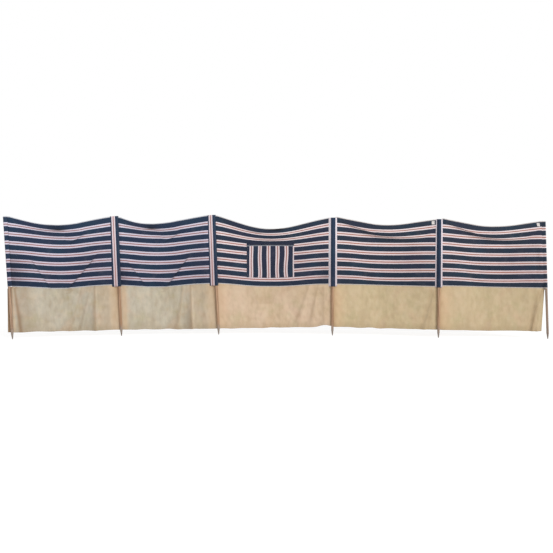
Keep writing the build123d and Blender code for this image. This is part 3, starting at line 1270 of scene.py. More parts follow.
    def build(
        self, cloth: bpy.types.Material, tape: bpy.types.Material,
        thread: bpy.types.Material, dark: bpy.types.Material,
    ) -> None:
        """Make the bay's five pieces of cloth and sew them.

        Args:
            cloth: the striped canvas.
            tape: the tape over the seam on the back.
            thread: the sewing thread.
            dark: the thread along the top hem.
        """
        n = self.number
        poles = [self.left.node, self.right.node]
        flap_cloth = self.flap_finish.make()
        behind = LAYER + SEWN
        hem_share = 1 - self.flap_hem / self.flap_cut
        panel = self.strip(f"cloth_panel_{n}", 0.0, STRIPED)
        top = self.strip(f"cloth_top_hem_{n}", 0.0, self.top_hem, behind)
        half_tape = self.seam_tape / 2
        seam = self.strip(f"cloth_seam_tape_{n}", STRIPED - half_tape, STRIPED - SEWN, behind)
        low_seam = self.flap_strip("lower", 0.0, half_tape / self.flap_cut, behind)
        lower = self.matched(low_seam.points[1:], seam.points.shape[1])
        seam.points = np.concatenate([seam.points, lower])
        seam.down = np.concatenate([seam.down, STRIPED + low_seam.down[1:]])
        seam.marks = {}
        flap = self.flap_strip(f"cloth_flap_{n}", 0.0, 1.0)
        flap_hem = self.flap_strip(f"cloth_flap_hem_{n}", hem_share, 1.0, behind)
        rear = -LAYER - PROUD
        below_top, above_seam = self.top_hem - SEWN_IN, STRIPED - SEWN_IN
        below_seam = 0.006  # down the flap, through the tape's lower half
        above_hem = self.flap_cut - self.flap_hem + 0.003
        hemmed = [panel.line(row=below_top, lift=PROUD), top.line(row=below_top, lift=rear)]
        sewn = [
            panel.line(row=above_seam, lift=PROUD),
            flap.line(row=below_seam, lift=PROUD),
            flap.line(row=above_hem, lift=PROUD),
            seam.line(row=above_seam, lift=rear),
            seam.line(row=STRIPED + below_seam, lift=rear),
            flap_hem.line(row=above_hem, lift=rear),
        ]
        stitches = Stitcher().sew(f"bay_stitches_{n}", sewn, thread)
        settle(Stitcher().sew(f"top_stitches_{n}", hemmed, dark), None)
        cut = self.cut_width
        plan = (
            (panel, cloth, "striped_panel", "striped_canvas", (cut, STRIPED), "hung"),
            (top, cloth, "top_hem", "striped_canvas", (cut, self.top_hem), "folded"),
            (seam, tape, "seam_tape", "plain_canvas", (cut, self.seam_tape), "hung"),
            (flap, flap_cloth, "ground_flap", "plain_canvas", (cut, self.flap_cut), "hung"),
            (flap_hem, flap_cloth, "flap_hem", "plain_canvas", (cut, self.flap_hem), "folded"),
        )
        for sheet, material, node, slot, flat, held in plan:
            piece = sheet.build(material)
            settle(piece, f"{node}_{n}")
            self.pieces.append(piece)
        settle(stitches, None)
        LOG.info("bay %d: %.3f m between its poles", n, self.wide)

    @staticmethod
    def matched(points: np.ndarray, columns: int) -> np.ndarray:
        """Resample the rows of a grid to another number of columns."""
        old = np.linspace(0, 1, points.shape[1])
        new = np.linspace(0, 1, columns)
        rows = [[np.interp(new, old, row[:, k]) for k in range(3)] for row in points]
        return np.transpose(np.array(rows), (0, 2, 1))


def settle(piece: bpy.types.Object, node: str | None) -> None:
    """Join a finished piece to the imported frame.

    Args:
        piece: the piece.
        node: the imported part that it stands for, if it does.
    """
    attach(piece, "root")
    if node:
        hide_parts(node)
    LOG.info("%s: %d faces", piece.name, len(piece.data.polygons))


def sew_sides(sheet: Sheet, closed: int, name: str, thread: bpy.types.Material) -> None:
    """Sew a line of stitches down each side of a casing or an end hem.

    Args:
        sheet: the strip of cloth.
        closed: how many rows of its closed top stay unsewn.
        name: the stitches' name.
        thread: the sewing thread.
    """
    face = square_off(sheet.points, -PROUD)[closed:]
    settle(Stitcher().sew(name, [face[:, 2], face[:, -3]], thread), None)


# ---------------------------------------------------------------- casings and end hems
def round_pole(edge: float, flat: float, flange: float, slope: float = 0.0) -> np.ndarray:
    """One side of a strip that is sewn down beside a pole and goes over the pole's front.

    Args:
        edge: how far from the pole's line the strip's edge is.
        flat: how far behind that line it is sewn down.
        flange: width of the part that lies flat.
        slope: how much further back that part is for each metre outwards.

    Returns:
        Pairs of distance from the pole's line and distance behind it, from the edge to the
        middle of the pole's front.
    """
    seam, at_seam = edge - flange, flat - slope * flange
    reach = math.hypot(seam, at_seam)
    angle = math.atan2(at_seam, seam) - math.acos(ROUND_POLE / reach)  # of the tangent point
    start = np.linspace([edge, flat], [seam, at_seam], 5)
    touch = ROUND_POLE * np.array([math.cos(angle), math.sin(angle)])
    rising = np.linspace([seam, at_seam], touch, 9)[1:]
    return np.concatenate([start, rising, arc(np.linspace(angle, -math.pi / 2, 10)[1:])])


def arc(turns: np.ndarray) -> np.ndarray:
    """Points on the round of cloth that goes over a pole, at each angle."""
    return ROUND_POLE * np.stack([np.cos(turns), np.sin(turns)], -1)


def runs_along(outline: np.ndarray) -> np.ndarray:
    """How far along an outline each of its points is."""
    return np.concatenate([[0], np.cumsum(np.linalg.norm(np.diff(outline, axis=0), axis=1))])


@dataclass(frozen=True)
class Casing:
    """A strip of striped cloth over the front of a pole, sewn on the bays beside it."""

    bays: list  # the bays on its left and right
    finish: StripedCanvas
    left: tuple  # how far its middle is left of the pole's line, at its top and at its foot
    pattern: tuple  # how far the middle of its pattern is right of that line, there
    half: tuple  # half its width, there
    length: float = STRIPED + 0.0025
    flange: float = 0.005  # the part along each edge that lies flat
    slack: float = 0.0011  # how high its ripples are
    row_step: float = 0.02
    closed: tuple = (0.0, 0.35, 0.7, 0.9)  # rows of its closed top, as shares from back to front

    @property
    def pole(self) -> PoleLine:
        """The pole that it goes over."""
        return self.bays[1].left

    def lies_at(self, side: int, off: float, row: float) -> float:
        """How far behind the pole's line the strip lies on a bay's cloth.

        Args:
            side: 0 for the bay on the left, 1 for the one on the right.
            off: distance from the pole's line.
            row: distance below the top of the cloth.

        Returns:
            The distance back.
        """
        bay = self.bays[side]
        share = off / bay.wide if side else 1 - off / bay.wide
        down = min(row, STRIPED)
        cloth = bay.face(np.array(share), np.array(down), False)[1]
        return float(cloth - self.pole.at(np.array(down))[1]) - SEWN - LAYER

    def outline(self, share: float) -> np.ndarray:
        """The strip's outer face, as pairs of right and back, at a share of the way down it."""
        half, left = np.interp(share, (0, 1), self.half), np.interp(share, (0, 1), self.left)
        sides = []
        for side, edge in ((0, half + left), (1, half - left)):
            row = share * self.length
            outer, inner = (self.lies_at(side, off, row) for off in (edge, edge - self.flange))
            sides.append(round_pole(edge, outer, self.flange, (outer - inner) / self.flange))
        return np.concatenate([sides[0] * [-1, 1], sides[1][-2::-1]])

    def sheet(self) -> Sheet:
        """The strip, from the back edge of its closed top down to its open foot."""
        flat = FACE - SEWN - LAYER
        dice = Ripples(90 + self.pole.number, self.slack, 0.20, 0.05, 10, upright=0.6)
        grid, across, downs = [], [], []
        top = self.outline(0.0)
        for share in self.closed:
            back = flat + (top[:, 1] - flat) * share
            grid.append(self.pole.at(0.0006 * share, top[:, 0], back))
            across.append(top[:, 0] - self.pattern[0])
            downs.append(-0.012 * (1 - share))
        for row in np.linspace(0.004, self.length, int(self.length / self.row_step) + 1):
            share = row / self.length
            outline = self.outline(share)
            loose = np.clip((self.half[0] - 0.008 - np.abs(outline[:, 0])) / 0.010, 0, 1)
            back = outline[:, 1] - np.abs(dice.at(outline[:, 0] * 2, row)) * loose
            grid.append(self.pole.at(row, outline[:, 0], back))
            across.append(outline[:, 0] - np.interp(share, (0, 1), self.pattern))
            downs.append(row)
        name = f"cloth_casing_{self.pole.number}"
        return Sheet(name, np.array(grid), np.array(across), np.array(downs)[:, None])

    def build(self, thread: bpy.types.Material) -> None:
        """Make the casing and its two sewn sides.

        Args:
            thread: the sewing thread.
        """
        sheet = self.sheet()
        piece = sheet.build(self.finish.make())
        number = self.pole.number
        settle(piece, f"pole_casing_{number}")
        run = round(float(runs_along(self.outline(0.5))[-1]), 3)
        self.pole.node
        sew_sides(sheet, len(self.closed), f"casing_stitches_{number}", thread)


@dataclass(frozen=True)
class EndHem:
    """The end of the cloth, folded round an end pole and sewn to itself."""

    pole: PoleLine
    side: int  # 1 where the cloth goes off to the right of the pole
    finish: StripedCanvas
    name: str
    raised: float = 0.0  # how much higher than its place the cloth sits at the hem's foot
    run: float = 0.0325  # from the pole's line to its sewn edges
    flange: float = 0.004
    slack: float = 0.0010  # how high its ripples are
    length: float = STRIPED - 0.004
    row_step: float = 0.016
    closed: tuple = (0.12, 0.5, 0.85)  # rows of its closed top, as shares from middle to rim

    def outline(self, below: float) -> np.ndarray:
        """The hem's outer face round the pole, from its front stitch line to its back one."""
        apart = LAYER + SEWN
        flat = FACE - end_drift(below)
        front = round_pole(self.run, flat - apart, self.flange)
        rear = round_pole(self.run, -flat - LAYER - apart, self.flange) * [1, -1]
        turned = arc(np.linspace(-0.5 * math.pi, -1.5 * math.pi, 14)[1:-1])
        return np.concatenate([front, turned, rear[::-1]])

    def build(self, thread: bpy.types.Material) -> None:
        """Make the hem and its stitch lines.

        Args:
            thread: the sewing thread.
        """
        turned = -1 if self.side > 0 else 1
        shape = [self.side, 1]
        rows = int(self.length / self.row_step)
        dice = Ripples(60 + self.pole.number, self.slack, 0.18, 0.05, 10, upright=0.6)
        grid, across, downs = [], [], []
        top = self.outline(0.0)[::turned]
        top_runs = runs_along(top)
        middle = top.mean(axis=0)
        for share in self.closed:
            inner = (middle + (top - middle) * share) * shape
            grid.append(self.pole.at(0.0, inner[:, 0], inner[:, 1]))
            across.append(top_runs)
            downs.append(-0.010 * (1 - share))
        for row in np.linspace(0.003, self.length, rows + 1):
            line = self.outline(row)[::turned]
            loose = np.clip((self.run - 0.006 - line[:, 0]) / 0.012, 0, 1)
            loose = loose * np.clip(1 - line[:, 1] / 0.012, 0, 1)
            ripple = np.abs(dice.at(line[:, 0] * 2, row)) * loose
            grid.append(self.pole.at(row, line[:, 0] * self.side, line[:, 1] - ripple))
            across.append(runs_along(line))
            downs.append(row + self.raised * smooth(row / self.length))
        sheet = Sheet(f"cloth_{self.name}", np.array(grid), np.array(across), np.array(downs)[:, None])
        piece = sheet.build(self.finish.make())
        settle(piece, self.name)
        self.pole.node
        sew_sides(sheet, len(self.closed), f"{self.name}_stitches", thread)


# ---------------------------------------------------------------- pocket and tabs
@dataclass(frozen=True)
class Pocket:
    """The patch pocket on the third bay, open at its top, with its mouth's folded hem."""

    bay: Bay
    width: float = 0.552
    depth: float = 0.412
    hem: float = 0.036
    bulge: float = 0.020  # how far its mouth stands open
    sway: float = 0.005  # how far its sides and stripes wander
    crush: float = 0.0022  # height of its wrinkles
    seed: int = 33

    def corners(self) -> tuple[float, float, float]:
        """The pocket's middle along the row, its mouth's height and its foot's height."""
        low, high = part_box("pocket")
        return (low.x + high.x) / 2, high.z - 0.002, low.z + 0.002

    def face(self, s: np.ndarray, t: np.ndarray, behind: float = 0.0) -> np.ndarray:
        """The front face of the pocket.

        Args:
            s: share of the way across the pocket.
            t: share of the way down it.
            behind: how far behind the front face.

        Returns:
            The points, with x, y and z last.
        """
        s, t = np.broadcast_arrays(s, t)
        middle, mouth, foot = self.corners()
        sway = Ripples(self.seed, self.sway, 0.5, 0.25, 6).at(s * self.width, t * self.depth)
        inner = np.minimum(np.minimum(s, 1 - s) * self.width, (1 - t) * self.depth)
        loose = smooth(inner / 0.06)
        x = middle + (s - 0.5) * self.width + sway * loose
        x = x + 0.004 * (0.5 - s) * np.sin(math.pi * t)
        dip = 0.010 * hang(s) * smooth((t - 0.5) / 0.5) - 0.003 * hang(s) * (1 - t)
        z = mouth + (foot - mouth) * t - dip
        u, v = self.bay.place_on(x, z)
        ground = self.bay.face(u, v)
        puff = self.bulge * np.sin(math.pi * np.clip(s, 0, 1)) ** 0.8 * (1 - smooth((t - 0.55) / 0.45))
        waves = Ripples(self.seed + 1, self.crush, 0.18, 0.05, 16, upright=3.0)
        wrinkle = waves.at(s * self.width, t * self.depth)
        forward = 0.0018 + puff * loose + wrinkle * loose - behind
        return np.stack([ground[..., 0], ground[..., 1] - forward, ground[..., 2]], -1)

    def build(self, finish: StripedCanvas, thread: bpy.types.Material) -> None:
        """Make the pocket, the hem inside its mouth and its stitches.

        Args:
            finish: the pocket's cloth.
            thread: the sewing thread.
        """
        s = self.bay.spread(0.0, 1.0, self.width, 1)[None, :]
        t = self.bay.spread(0.0, 1.0, self.depth, 1)[:, None]
        front = Sheet("cloth_pocket", self.face(s, t), s * self.width, t * self.depth)
        cloth = finish.make()
        piece = front.build(cloth)
        settle(piece, "pocket")
        s_in = self.bay.spread(0.02, 0.98, self.width, 1)[None, :]
        t_in = np.linspace(0.0, self.hem / self.depth, 6)[:, None]
        inside = self.face(s_in, t_in, LAYER + SEWN)
        inner = Sheet("cloth_pocket_hem", inside, s_in * self.width, t_in * self.depth).build(cloth)
        settle(inner, "pocket_hem")
        lines = [
            front.line(column=SEWN_IN, lift=PROUD),
            front.line(column=self.width - SEWN_IN, lift=PROUD),
            front.line(row=self.depth - SEWN_IN, lift=PROUD),
            front.line(row=self.hem - 0.003, lift=PROUD),
        ]
        stitches = Stitcher(pitch=0.0044).sew("pocket_stitches", lines, thread)
        settle(stitches, None)


@dataclass(frozen=True)
class Tab:
    """A short tape tab sewn on the front at the top edge."""

    bay: Bay
    width: float = 0.034
    height: float = 0.040
    slant: float = 0.0
    curl: float = 0.006  # how far its lower end stands off the cloth

    def build(self, tape: bpy.types.Material, thread: bpy.types.Material) -> None:
        """Make the tab and the line that holds it.

        Args:
            tape: the tab's tape.
            thread: the sewing thread.
        """
        number = self.bay.number
        low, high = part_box(f"tape_tab_{number}")
        middle = (low.x + high.x) / 2
        s = np.linspace(-0.5, 0.5, 13)[None, :]
        t = np.linspace(0, 1, 15)[:, None]
        x = middle + s * self.width + self.slant * t
        u, v = self.bay.place_on(x, high.z - t * self.height)
        points = self.bay.face(u, v)
        curl = self.curl * smooth((t - 0.3) / 0.7) * (1 + 0.5 * np.cos(2.2 * s * math.pi))
        points[..., 1] -= LAYER + SEWN + PROUD / 2 + curl
        sheet = Sheet(f"cloth_tab_{number}", points, (s + 0.5) * self.width, t * self.height)
        piece = sheet.build(tape)
        settle(piece, f"tape_tab_{number}")
        lines = [sheet.line(row=down, lift=PROUD) for down in (SEWN_IN, 0.010)]
        stitches = Stitcher(pitch=0.004).sew(f"tab_stitches_{number}", lines, thread)
        settle(stitches, None)


# ---------------------------------------------------------------- stage
@dataclass(frozen=True)
class Stage:
    """The floor, the light and the camera."""

    sky: float = 0.66
    sun: float = 1.35
    sun_from: tuple = (0.62, -0.72, 0.46)
    sun_spread: float = 24.0  # degrees
    floor_reach: float = 40.0
    floor_lights: tuple = (0.8, 0.79, 0.77, 1)  # the floor as it throws light back on the cloth
    floor_seen: tuple = (0.42, 0.42, 0.42, 1)  # the floor as the camera sees it, with its glow
    floor_glow: float = 0.73
    camera_place: tuple = (-0.652, -8.12, 0.996)
    camera_down: float = 2.17  # degrees
    lens: float = 45.47

    def light(self) -> None:
        """A plain pale sky and one soft lamp from the right."""
        world = bpy.data.worlds.new("sky")
        world.use_nodes = True
        bpy.context.scene.world = world
        sky = Nodes(world.node_tree)
        level = sky.node("MapRange")
        sky.feed(level.inputs["Value"], sky.seen_directly())
        sky.feed(level.inputs["To Min"], self.sky)
        sky.feed(level.inputs["To Max"], 1.0)
        background = sky.tree.nodes["Background"].inputs
        sky.feed(background["Strength"], level.outputs[0])
        sky.feed(background["Color"], (1, 1, 1, 1))
        lamp = bpy.data.lights.new("key", "SUN")
        lamp.energy = self.sun
        lamp.angle = math.radians(self.sun_spread)
        lamp.color = (1.0, 0.985, 0.955)
        holder = bpy.data.objects.new("key", lamp)
        holder.rotation_euler = Vector(self.sun_from).to_track_quat("Z", "Y").to_euler()
        bpy.context.scene.collection.objects.link(holder)

    def floor(self, poles: list[PoleLine]) -> None:
        """Uneven pale ground that meets every pole's tip.

        Args:
            poles: the poles' lines.
        """
        xs = np.array([pole.tip[0] for pole in poles])
        zs = np.array([pole.tip[2] for pole in poles])
        lines = [-self.floor_reach]
        heights = [float(zs[0])]
        for n in range(len(xs) - 1):
            for share in np.linspace(0, 1, 9)[:-1]:
                lines.append(float(xs[n] + (xs[n + 1] - xs[n]) * share))
                heights.append(float(zs[n] + (zs[n + 1] - zs[n]) * smooth(share)))
        lines += [float(xs[-1]), self.floor_reach]
        heights += [float(zs[-1])] * 2
        sides = (-self.floor_reach, self.floor_reach)
        points = [(x, y, z - 0.0005) for y in sides for x, z in zip(lines, heights)]
        count = len(lines)
        faces = [(n, n + 1, count + n + 1, count + n) for n in range(count - 1)]
        mesh = bpy.data.meshes.new("floor")
        mesh.from_pydata(points, [], faces)
        mesh.shade_smooth()
        ground = bpy.data.objects.new("floor", mesh)
        bpy.context.scene.collection.objects.link(ground)
        mesh.materials.append(self.ground())

    def ground(self) -> bpy.types.Material:
        """The floor's finish: pale, white where nothing shades it."""
        shader = Shader("floor", roughness=0.9, specular=0.0)
        direct = shader.seen_directly()
        shader.feed(shader.surface["Emission Color"], (1, 1, 1, 1))
        glow = shader.math("MULTIPLY", direct, self.floor_glow)
        shader.feed(shader.surface["Emission Strength"], glow)
        return shader.finish(shader.mix(direct, self.floor_lights, self.floor_seen))

    def camera(self) -> None:
        """The camera, level with the cloth and in front of the row."""
        data = bpy.data.cameras.new("camera")
        data.lens = self.lens
        data.sensor_width = 36.0
        data.clip_end = 200.0
        camera = bpy.data.objects.new("camera", data)
        camera.location = self.camera_place
        camera.rotation_euler = (math.radians(90.0 - self.camera_down), 0.0, 0.0)
        bpy.context.scene.collection.objects.link(camera)
        bpy.context.scene.camera = camera


# ---------------------------------------------------------------- the whole windbreak
def drapes() -> list[Drape]:
    """How each of the five bays hangs, from left to right."""
    return [
        Drape(
            top_sag=0.105, lowest=0.45, ease=0.17,
            swag=0.17, swag_place=0.80, swag_fall=0.0, swag_width=0.087,
            low_sag=0.080, left_fold=(0.27, 0.15, 0.27), right_fold=(0.64, 0.27, 0.28),
            left_lift=0.009, right_lift=0.002, seam_pull=-0.09, belly=0.080,
            crest=(0.014, 0.009, 0.011, 0.010, 0.005),
            creases=(
                Crease((0.79, 0.43), (0.52, 0.77), 0.009, 0.012, 0.012, 0.7),
                Crease((0.20, 0.45), (0.35, 0.78), 0.006, 0.006, 0.016, 0.3),
                Crease((0.72, 0.14), (0.55, 0.25), 0.005, 0.007, 0.012, 0.4),
            ),
            # painted shade patches: under the turned top and in the lower left corner
            painted_shades=(
                PaintedShade(0.46, 0.068, 0.085, 0.013, 1.0), PaintedShade(0.45, 0.03, 0.12, 0.03, 0.45),
                PaintedShade(0.02, 0.60, 0.16, 0.22, 0.50),
            ),
        ),
        Drape(
            top_sag=0.096, lowest=0.38, ease=0.08,
            swag=0.146, swag_place=0.77, swag_fall=1.0, swag_width=0.090,
            low_sag=0.059, left_fold=(0.16, 0.14, 0.275), right_fold=(0.65, 0.20, 0.254),
            left_lift=0.003, right_lift=0.002, seam_pull=-0.07, belly=0.078,
            crest=(0.011, 0.004, 0.011, 0.008, 0.006),
            creases=(
                Crease((0.72, 0.45), (0.48, 0.77), 0.009, 0.012, 0.012, 0.7),
                Crease((0.10, 0.50), (0.27, 0.77), 0.006, 0.006, 0.016, 0.3),
                Crease((0.66, 0.14), (0.48, 0.25), 0.005, 0.007, 0.012, 0.4),
            ),
            # painted shade patches: under the turned top and at the left side
            painted_shades=(
                PaintedShade(0.35, 0.068, 0.075, 0.013, 1.0), PaintedShade(0.36, 0.03, 0.10, 0.03, 0.45),
                PaintedShade(0.03, 0.68, 0.12, 0.12, 0.35),
            ),
        ),
        Drape(
            top_sag=0.154, lowest=0.475, ease=0.10,
            swag=0.195, swag_place=0.30, swag_fall=0.35, swag_width=0.150,
            low_sag=0.049, left_fold=(0.11, 0.20, 0.17), right_fold=(0.79, 0.17, 0.17),
            left_lift=0.004, right_lift=0.012, seam_pull=0.10, belly=0.085,
            crest=(0.010, 0.011, 0.009, 0.014, 0.008),
            # painted shade patches: under the turned top and at the right side
            painted_shades=(
                PaintedShade(0.53, 0.012, 0.11, 0.022, 1.0), PaintedShade(0.35, 0.071, 0.10, 0.011, 0.6),
                PaintedShade(0.97, 0.70, 0.12, 0.12, 0.3),
            ),
        ),
        Drape(
            top_sag=0.082, lowest=0.50, ease=0.24,
            swag=0.222, swag_place=0.80, swag_fall=0.93, swag_width=0.034,
            low_sag=0.020, left_fold=(0.23, 0.27, 0.12), right_fold=(0.756, 0.0, 0.177),
            left_lift=0.010, right_lift=0.003, seam_pull=0.78, belly=0.076,
            crest=(0.018, 0.018, 0.008, 0.007, 0.002),
            creases=(
                Crease((0.10, 0.40), (0.48, 0.77), 0.005, 0.0),
                Crease((0.06, 0.035), (0.40, 0.125), 0.006, 0.004, 0.014, 0.45),
            ),
        ),
        Drape(
            top_sag=0.082, lowest=0.484, ease=0.22,
            swag=0.217, swag_place=0.78, swag_fall=1.0, swag_width=0.033,
            low_sag=0.022, left_fold=(0.217, 0.33, 0.127), right_fold=(0.767, 0.0, 0.194),
            left_lift=0.013, right_lift=0.005, seam_pull=0.67, belly=0.076,
            crest=(0.019, 0.022, 0.012, 0.005, 0.005),
            creases=(
                Crease((0.12, 0.40), (0.50, 0.77), 0.005, 0.0),
                Crease((0.06, 0.035), (0.40, 0.125), 0.006, 0.004, 0.014, 0.45),
            ),
        ),
    ]


def flap_folds() -> list[tuple]:
    """The upright folds in each bay's flap."""
    return [
        (
            Fold(0.045, 0.0, 0.012, 0.020, 0.020, 0.6), Fold(0.10, 0.01, 0.010, 0.022, 0.03, 0.5),
            Fold(0.768, 0.0, 0.040, 0.080, 0.010, 0.2), Fold(0.62, -0.14, 0.010, 0.03, 0.03, 0.5),
            Fold(0.72, -0.13, 0.007, 0.02, 0.02, 0.5), Fold(0.90, 0.0, 0.010, 0.05, 0.05, 0.4),
        ),
        (
            Fold(0.733, 0.0, 0.040, 0.075, 0.010, 0.2), Fold(0.657, -0.08, 0.010, 0.02, 0.03, 0.5),
            Fold(0.50, -0.12, 0.007, 0.03, 0.03, 0.5), Fold(0.88, 0.0, 0.010, 0.05, 0.05, 0.4),
        ),
        (
            Fold(0.93, 0.0, 0.014, 0.04, 0.03, 0.6), Fold(0.878, -0.09, 0.012, 0.03, 0.03, 0.6),
            Fold(0.80, -0.14, 0.014, 0.04, 0.03, 0.5), Fold(0.30, 0.18, 0.008, 0.04, 0.04, 0.8),
        ),
        (Fold(0.968, -0.125, 0.022, 0.03, 0.05, 0.5), Fold(0.40, -0.06, 0.006, 0.05, 0.05, 0.5)),
        (
            Fold(0.965, -0.120, 0.024, 0.025, 0.045, 0.6), Fold(0.992, -0.06, 0.010, 0.02, 0.02, 0.8),
            Fold(0.55, -0.08, 0.006, 0.05, 0.05, 0.5),
        ),
    ]


def glow(place: float, left: float, right: float, strength: float) -> Stain:
    """A warm, lit streak straight down a flap, with its two flanks."""
    return Stain((place, 0.0), (place, 1.0), left, right, strength, True, 0.0)


def wear_and_shade(
    top: float, bottom: float, left: float, right: float, strength: float, widens: float = 0.0
) -> Stain:
    """A streak of brown painted shade from the seam to the hem, with its two flanks."""
    return Stain((top, 0.0), (bottom, 1.0), left, right, strength, widens=widens)


def flap_stains() -> list[tuple]:
    """The streaks in each bay's flap: brown painted shade beside the poles and on the shaded flanks of
    its folds, and warm painted light.
    """
    return [
        (
            wear_and_shade(0.022, 0.020, 0.045, 0.018, 0.85), wear_and_shade(0.058, 0.095, 0.016, 0.022, 0.62, 0.5),
            wear_and_shade(0.10, 0.12, 0.05, 0.09, 0.30),
            Stain((0.04, 0.0), (0.055, 1.0), 0.012, 0.012, 0.35, True),
            wear_and_shade(0.767, 0.767, 0.055, 0.005, 0.45, 0.7),
            Stain((0.63, 0.05), (0.52, 0.95), 0.020, 0.018, 0.18),
            Stain((0.72, 0.05), (0.60, 0.95), 0.018, 0.018, 0.18),
            Stain((0.51, 0.0), (0.52, 0.06), 0.05, 0.05, 0.28, widens=0.0),
            Stain((0.56, 0.04), (0.50, 0.12), 0.03, 0.03, 0.2), glow(0.83, 0.08, 0.08, 0.22),
            glow(0.95, 0.08, 0.10, 0.46), wear_and_shade(0.972, 0.995, 0.020, 0.050, 0.55),
        ),
        (
            glow(0.045, 0.06, 0.030, 0.50), wear_and_shade(0.732, 0.732, 0.055, 0.005, 0.45, 0.7),
            Stain((0.657, 0.0), (0.575, 1.0), 0.020, 0.020, 0.22, True),
            wear_and_shade(0.64, 0.555, 0.02, 0.016, 0.18, 0.5),
            Stain((0.45, 0.0), (0.46, 0.06), 0.05, 0.05, 0.28, widens=0.0),
            Stain((0.49, 0.04), (0.43, 0.12), 0.03, 0.03, 0.2), glow(0.79, 0.08, 0.08, 0.25),
            glow(0.94, 0.08, 0.10, 0.46), wear_and_shade(0.968, 0.995, 0.020, 0.050, 0.55),
        ),
        (
            Stain((0.222, 0.0), (0.405, 0.40), 0.08, 0.14, 0.10, widens=0.0),
            Stain((0.63, 0.0), (0.405, 0.40), 0.16, 0.08, 0.10, widens=0.0),
            Stain((0.792, 0.05), (0.68, 0.85), 0.030, 0.014, 0.22),
            Stain((0.878, 0.0), (0.804, 0.85), 0.030, 0.014, 0.20),
            Stain((0.925, 0.1), (0.92, 0.9), 0.022, 0.014, 0.16), wear_and_shade(1.0, 1.0, 0.024, 0.02, 0.35),
            glow(0.03, 0.06, 0.08, 0.3),
        ),
        (
            glow(0.02, 0.09, 0.10, 0.45), wear_and_shade(0.968, 0.860, 0.016, 0.07, 0.22, 0.5),
            Stain((0.950, 0.0), (0.840, 1.0), 0.05, 0.014, 0.18, True),
            wear_and_shade(0.0, 0.0, 0.02, 0.024, 0.45), wear_and_shade(1.0, 1.0, 0.022, 0.02, 0.55),
        ),
        (
            glow(0.02, 0.10, 0.12, 0.45), wear_and_shade(0.975, 0.865, 0.014, 0.06, 0.30, 0.5),
            Stain((0.955, 0.0), (0.845, 1.0), 0.05, 0.014, 0.18, True),
            wear_and_shade(0.0, 0.0, 0.02, 0.028, 0.55),
        ),
    ]


def flap_finishes() -> list[PlainCanvas]:
    """Each bay's flap cloth, in a slightly different colour from bay to bay."""
    return [
        PlainCanvas("flap_canvas_1", (198, 191, 176), (188, 179, 160), 0.49, 0.20),
        PlainCanvas("flap_canvas_2", (202, 195, 179), (193, 183, 163), 0.48, 0.20),
        PlainCanvas("flap_canvas_3", (222, 197, 172), (212, 188, 158), 0.47, 0.15),
        PlainCanvas("flap_canvas_4", (214, 194, 159), (206, 187, 151), 0.47),
        PlainCanvas("flap_canvas_5", (213, 192, 158), (205, 186, 150), 0.47),
    ]


class Cloths:
    """The finishes of the striped canvas, which has faded differently along the row."""

    cool = StripedCanvas()
    grey = StripedCanvas(
        "striped_canvas_grey", navy=(42, 53, 72), shaded_low_navy=(34, 46, 67),
        white=(250, 236, 241), rust=(186, 122, 106), selvedge=(212, 208, 210),
    )
    warm = StripedCanvas(
        "striped_canvas_warm", navy=(46, 56, 72), shaded_low_navy=(35, 47, 65),
        white=(252, 237, 241), rust=(188, 123, 103), selvedge=(214, 207, 206),
    )
    pale_casing = StripedCanvas(
        "casing_canvas_pale", Run.UPRIGHT, start=(REPEAT - BAND) / 2, edged=False,
        white=(255, 240, 248), rust=(204, 150, 142),
    )
    navy_casing = StripedCanvas(
        "casing_canvas_navy", Run.UPRIGHT, start=-0.0265, edged=False, band=0.054,
        white=(248, 240, 248), rust=(242, 232, 238),
    )
    narrow_casing = replace(navy_casing, name="casing_canvas_narrow", start=-0.025, band=0.050)
    pocket = StripedCanvas(
        "pocket_canvas", Run.UPRIGHT, start=0.031 - BAND, edged=False, cap=0.045,
        navy=(37, 45, 66), shaded_low_navy=(35, 43, 63), white=(239, 224, 229), rust=(168, 112, 104),
    )


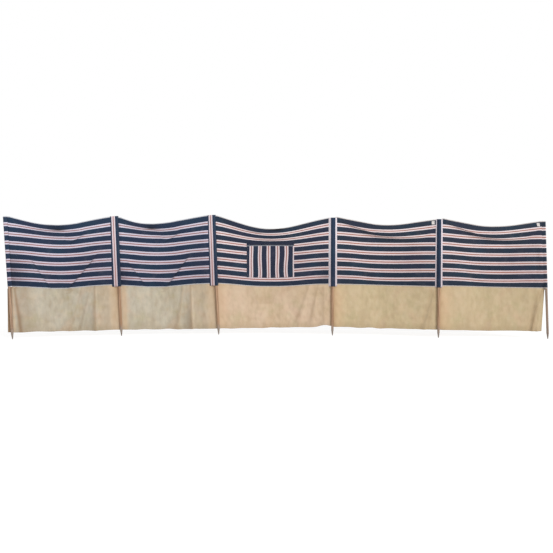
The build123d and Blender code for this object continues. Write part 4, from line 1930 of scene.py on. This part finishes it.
def build_bays(
    lines: list[PoleLine], thread: bpy.types.Material, dark: bpy.types.Material
) -> list[Bay]:
    """Make the five bays.

    Args:
        lines: the poles' lines.
        thread: the sewing thread.
        dark: the thread along the top hems.

    Returns:
        The bays, from left to right.
    """
    cool, grey, warm = Cloths.cool.make(), Cloths.grey.make(), Cloths.warm.make()
    canvases = (cool, cool, grey, warm, warm)
    tape = PlainCanvas("seam_tape_canvas", (206, 196, 176), (196, 184, 160)).make()
    cuts = ((1.215, 0.492), (1.145, 0.486), (1.370, 0.474), (1.245, 0.474), (1.310, 0.476))
    plans = zip(drapes(), flap_folds(), flap_stains(), flap_finishes())
    bays = []
    for n, (drape, folds, stains, finish) in enumerate(plans):
        bays.append(Bay(n + 1, lines[n], lines[n + 1], drape, folds, stains, finish, *cuts[n]))
    for bay in bays[:2]:
        bay.right_flat = 0.085
    bays[0].left_stop, bays[0].left_end = END_STOP, FlapEnd(-0.025, -0.052)
    bays[2].hem_rises = ((0.93, 0.022, 0.09),)
    bays[4].right_stop, bays[4].right_end = END_STOP, FlapEnd(0.015, 0.066)
    for bay, canvas in zip(bays, canvases):
        bay.build(canvas, tape, thread, dark)
    return bays


def build_casings(bays: list[Bay], thread: bpy.types.Material) -> None:
    """Make the casings over the four inner poles and the hems round the two end poles.

    Args:
        bays: the bays, from left to right.
        thread: the sewing thread.
    """
    pale, navy, narrow = Cloths.pale_casing, Cloths.navy_casing, Cloths.narrow_casing
    casings = (
        Casing(bays[0:2], pale, (0.019, 0.029), (-0.029, -0.034), (0.045, 0.051), STRIPED + 0.018),
        Casing(bays[1:3], pale, (0.015, 0.028), (-0.027, -0.040), (0.045, 0.049), STRIPED + 0.022),
        Casing(
            bays[2:4], navy, (-0.00275, -0.0045), (0.005, 0.005), (0.04825, 0.049), STRIPED + 0.014
        ),
        Casing(bays[3:5], narrow, (-0.0025, -0.0025), (-0.002, -0.002), (0.0385, 0.0425)),
    )
    for casing in casings:
        casing.build(thread)
    EndHem(bays[0].left, 1, Cloths.cool, "left_end_hem").build(thread)
    EndHem(bays[4].right, -1, Cloths.warm, "right_end_hem", 0.007).build(thread)


def main() -> None:
    """Set the stage, then build the windbreak's sub-assemblies in order."""
    logging.basicConfig(level=logging.INFO, format="%(name)s: %(message)s")
    scene = bpy.context.scene
    scene.view_settings.view_transform = "Standard"
    pole_set = PoleSet()
    lines = pole_set.lines()
    pole_set.dress(lines)
    stage = Stage()
    stage.camera()
    stage.light()
    stage.floor(lines)
    thread = Thread().make()
    dark_thread = Thread("dark_sewing_thread", (84, 88, 104)).make()
    bays = build_bays(lines, thread, dark_thread)
    build_casings(bays, dark_thread)
    Pocket(bays[2]).build(Cloths.pocket, thread)
    white_tape = Tape("white_tape", (236, 232, 230)).make()
    Tab(bays[3]).build(white_tape, thread)
    Tab(bays[4], slant=0.006).build(white_tape, thread)


if __name__ == "__main__":
    main()
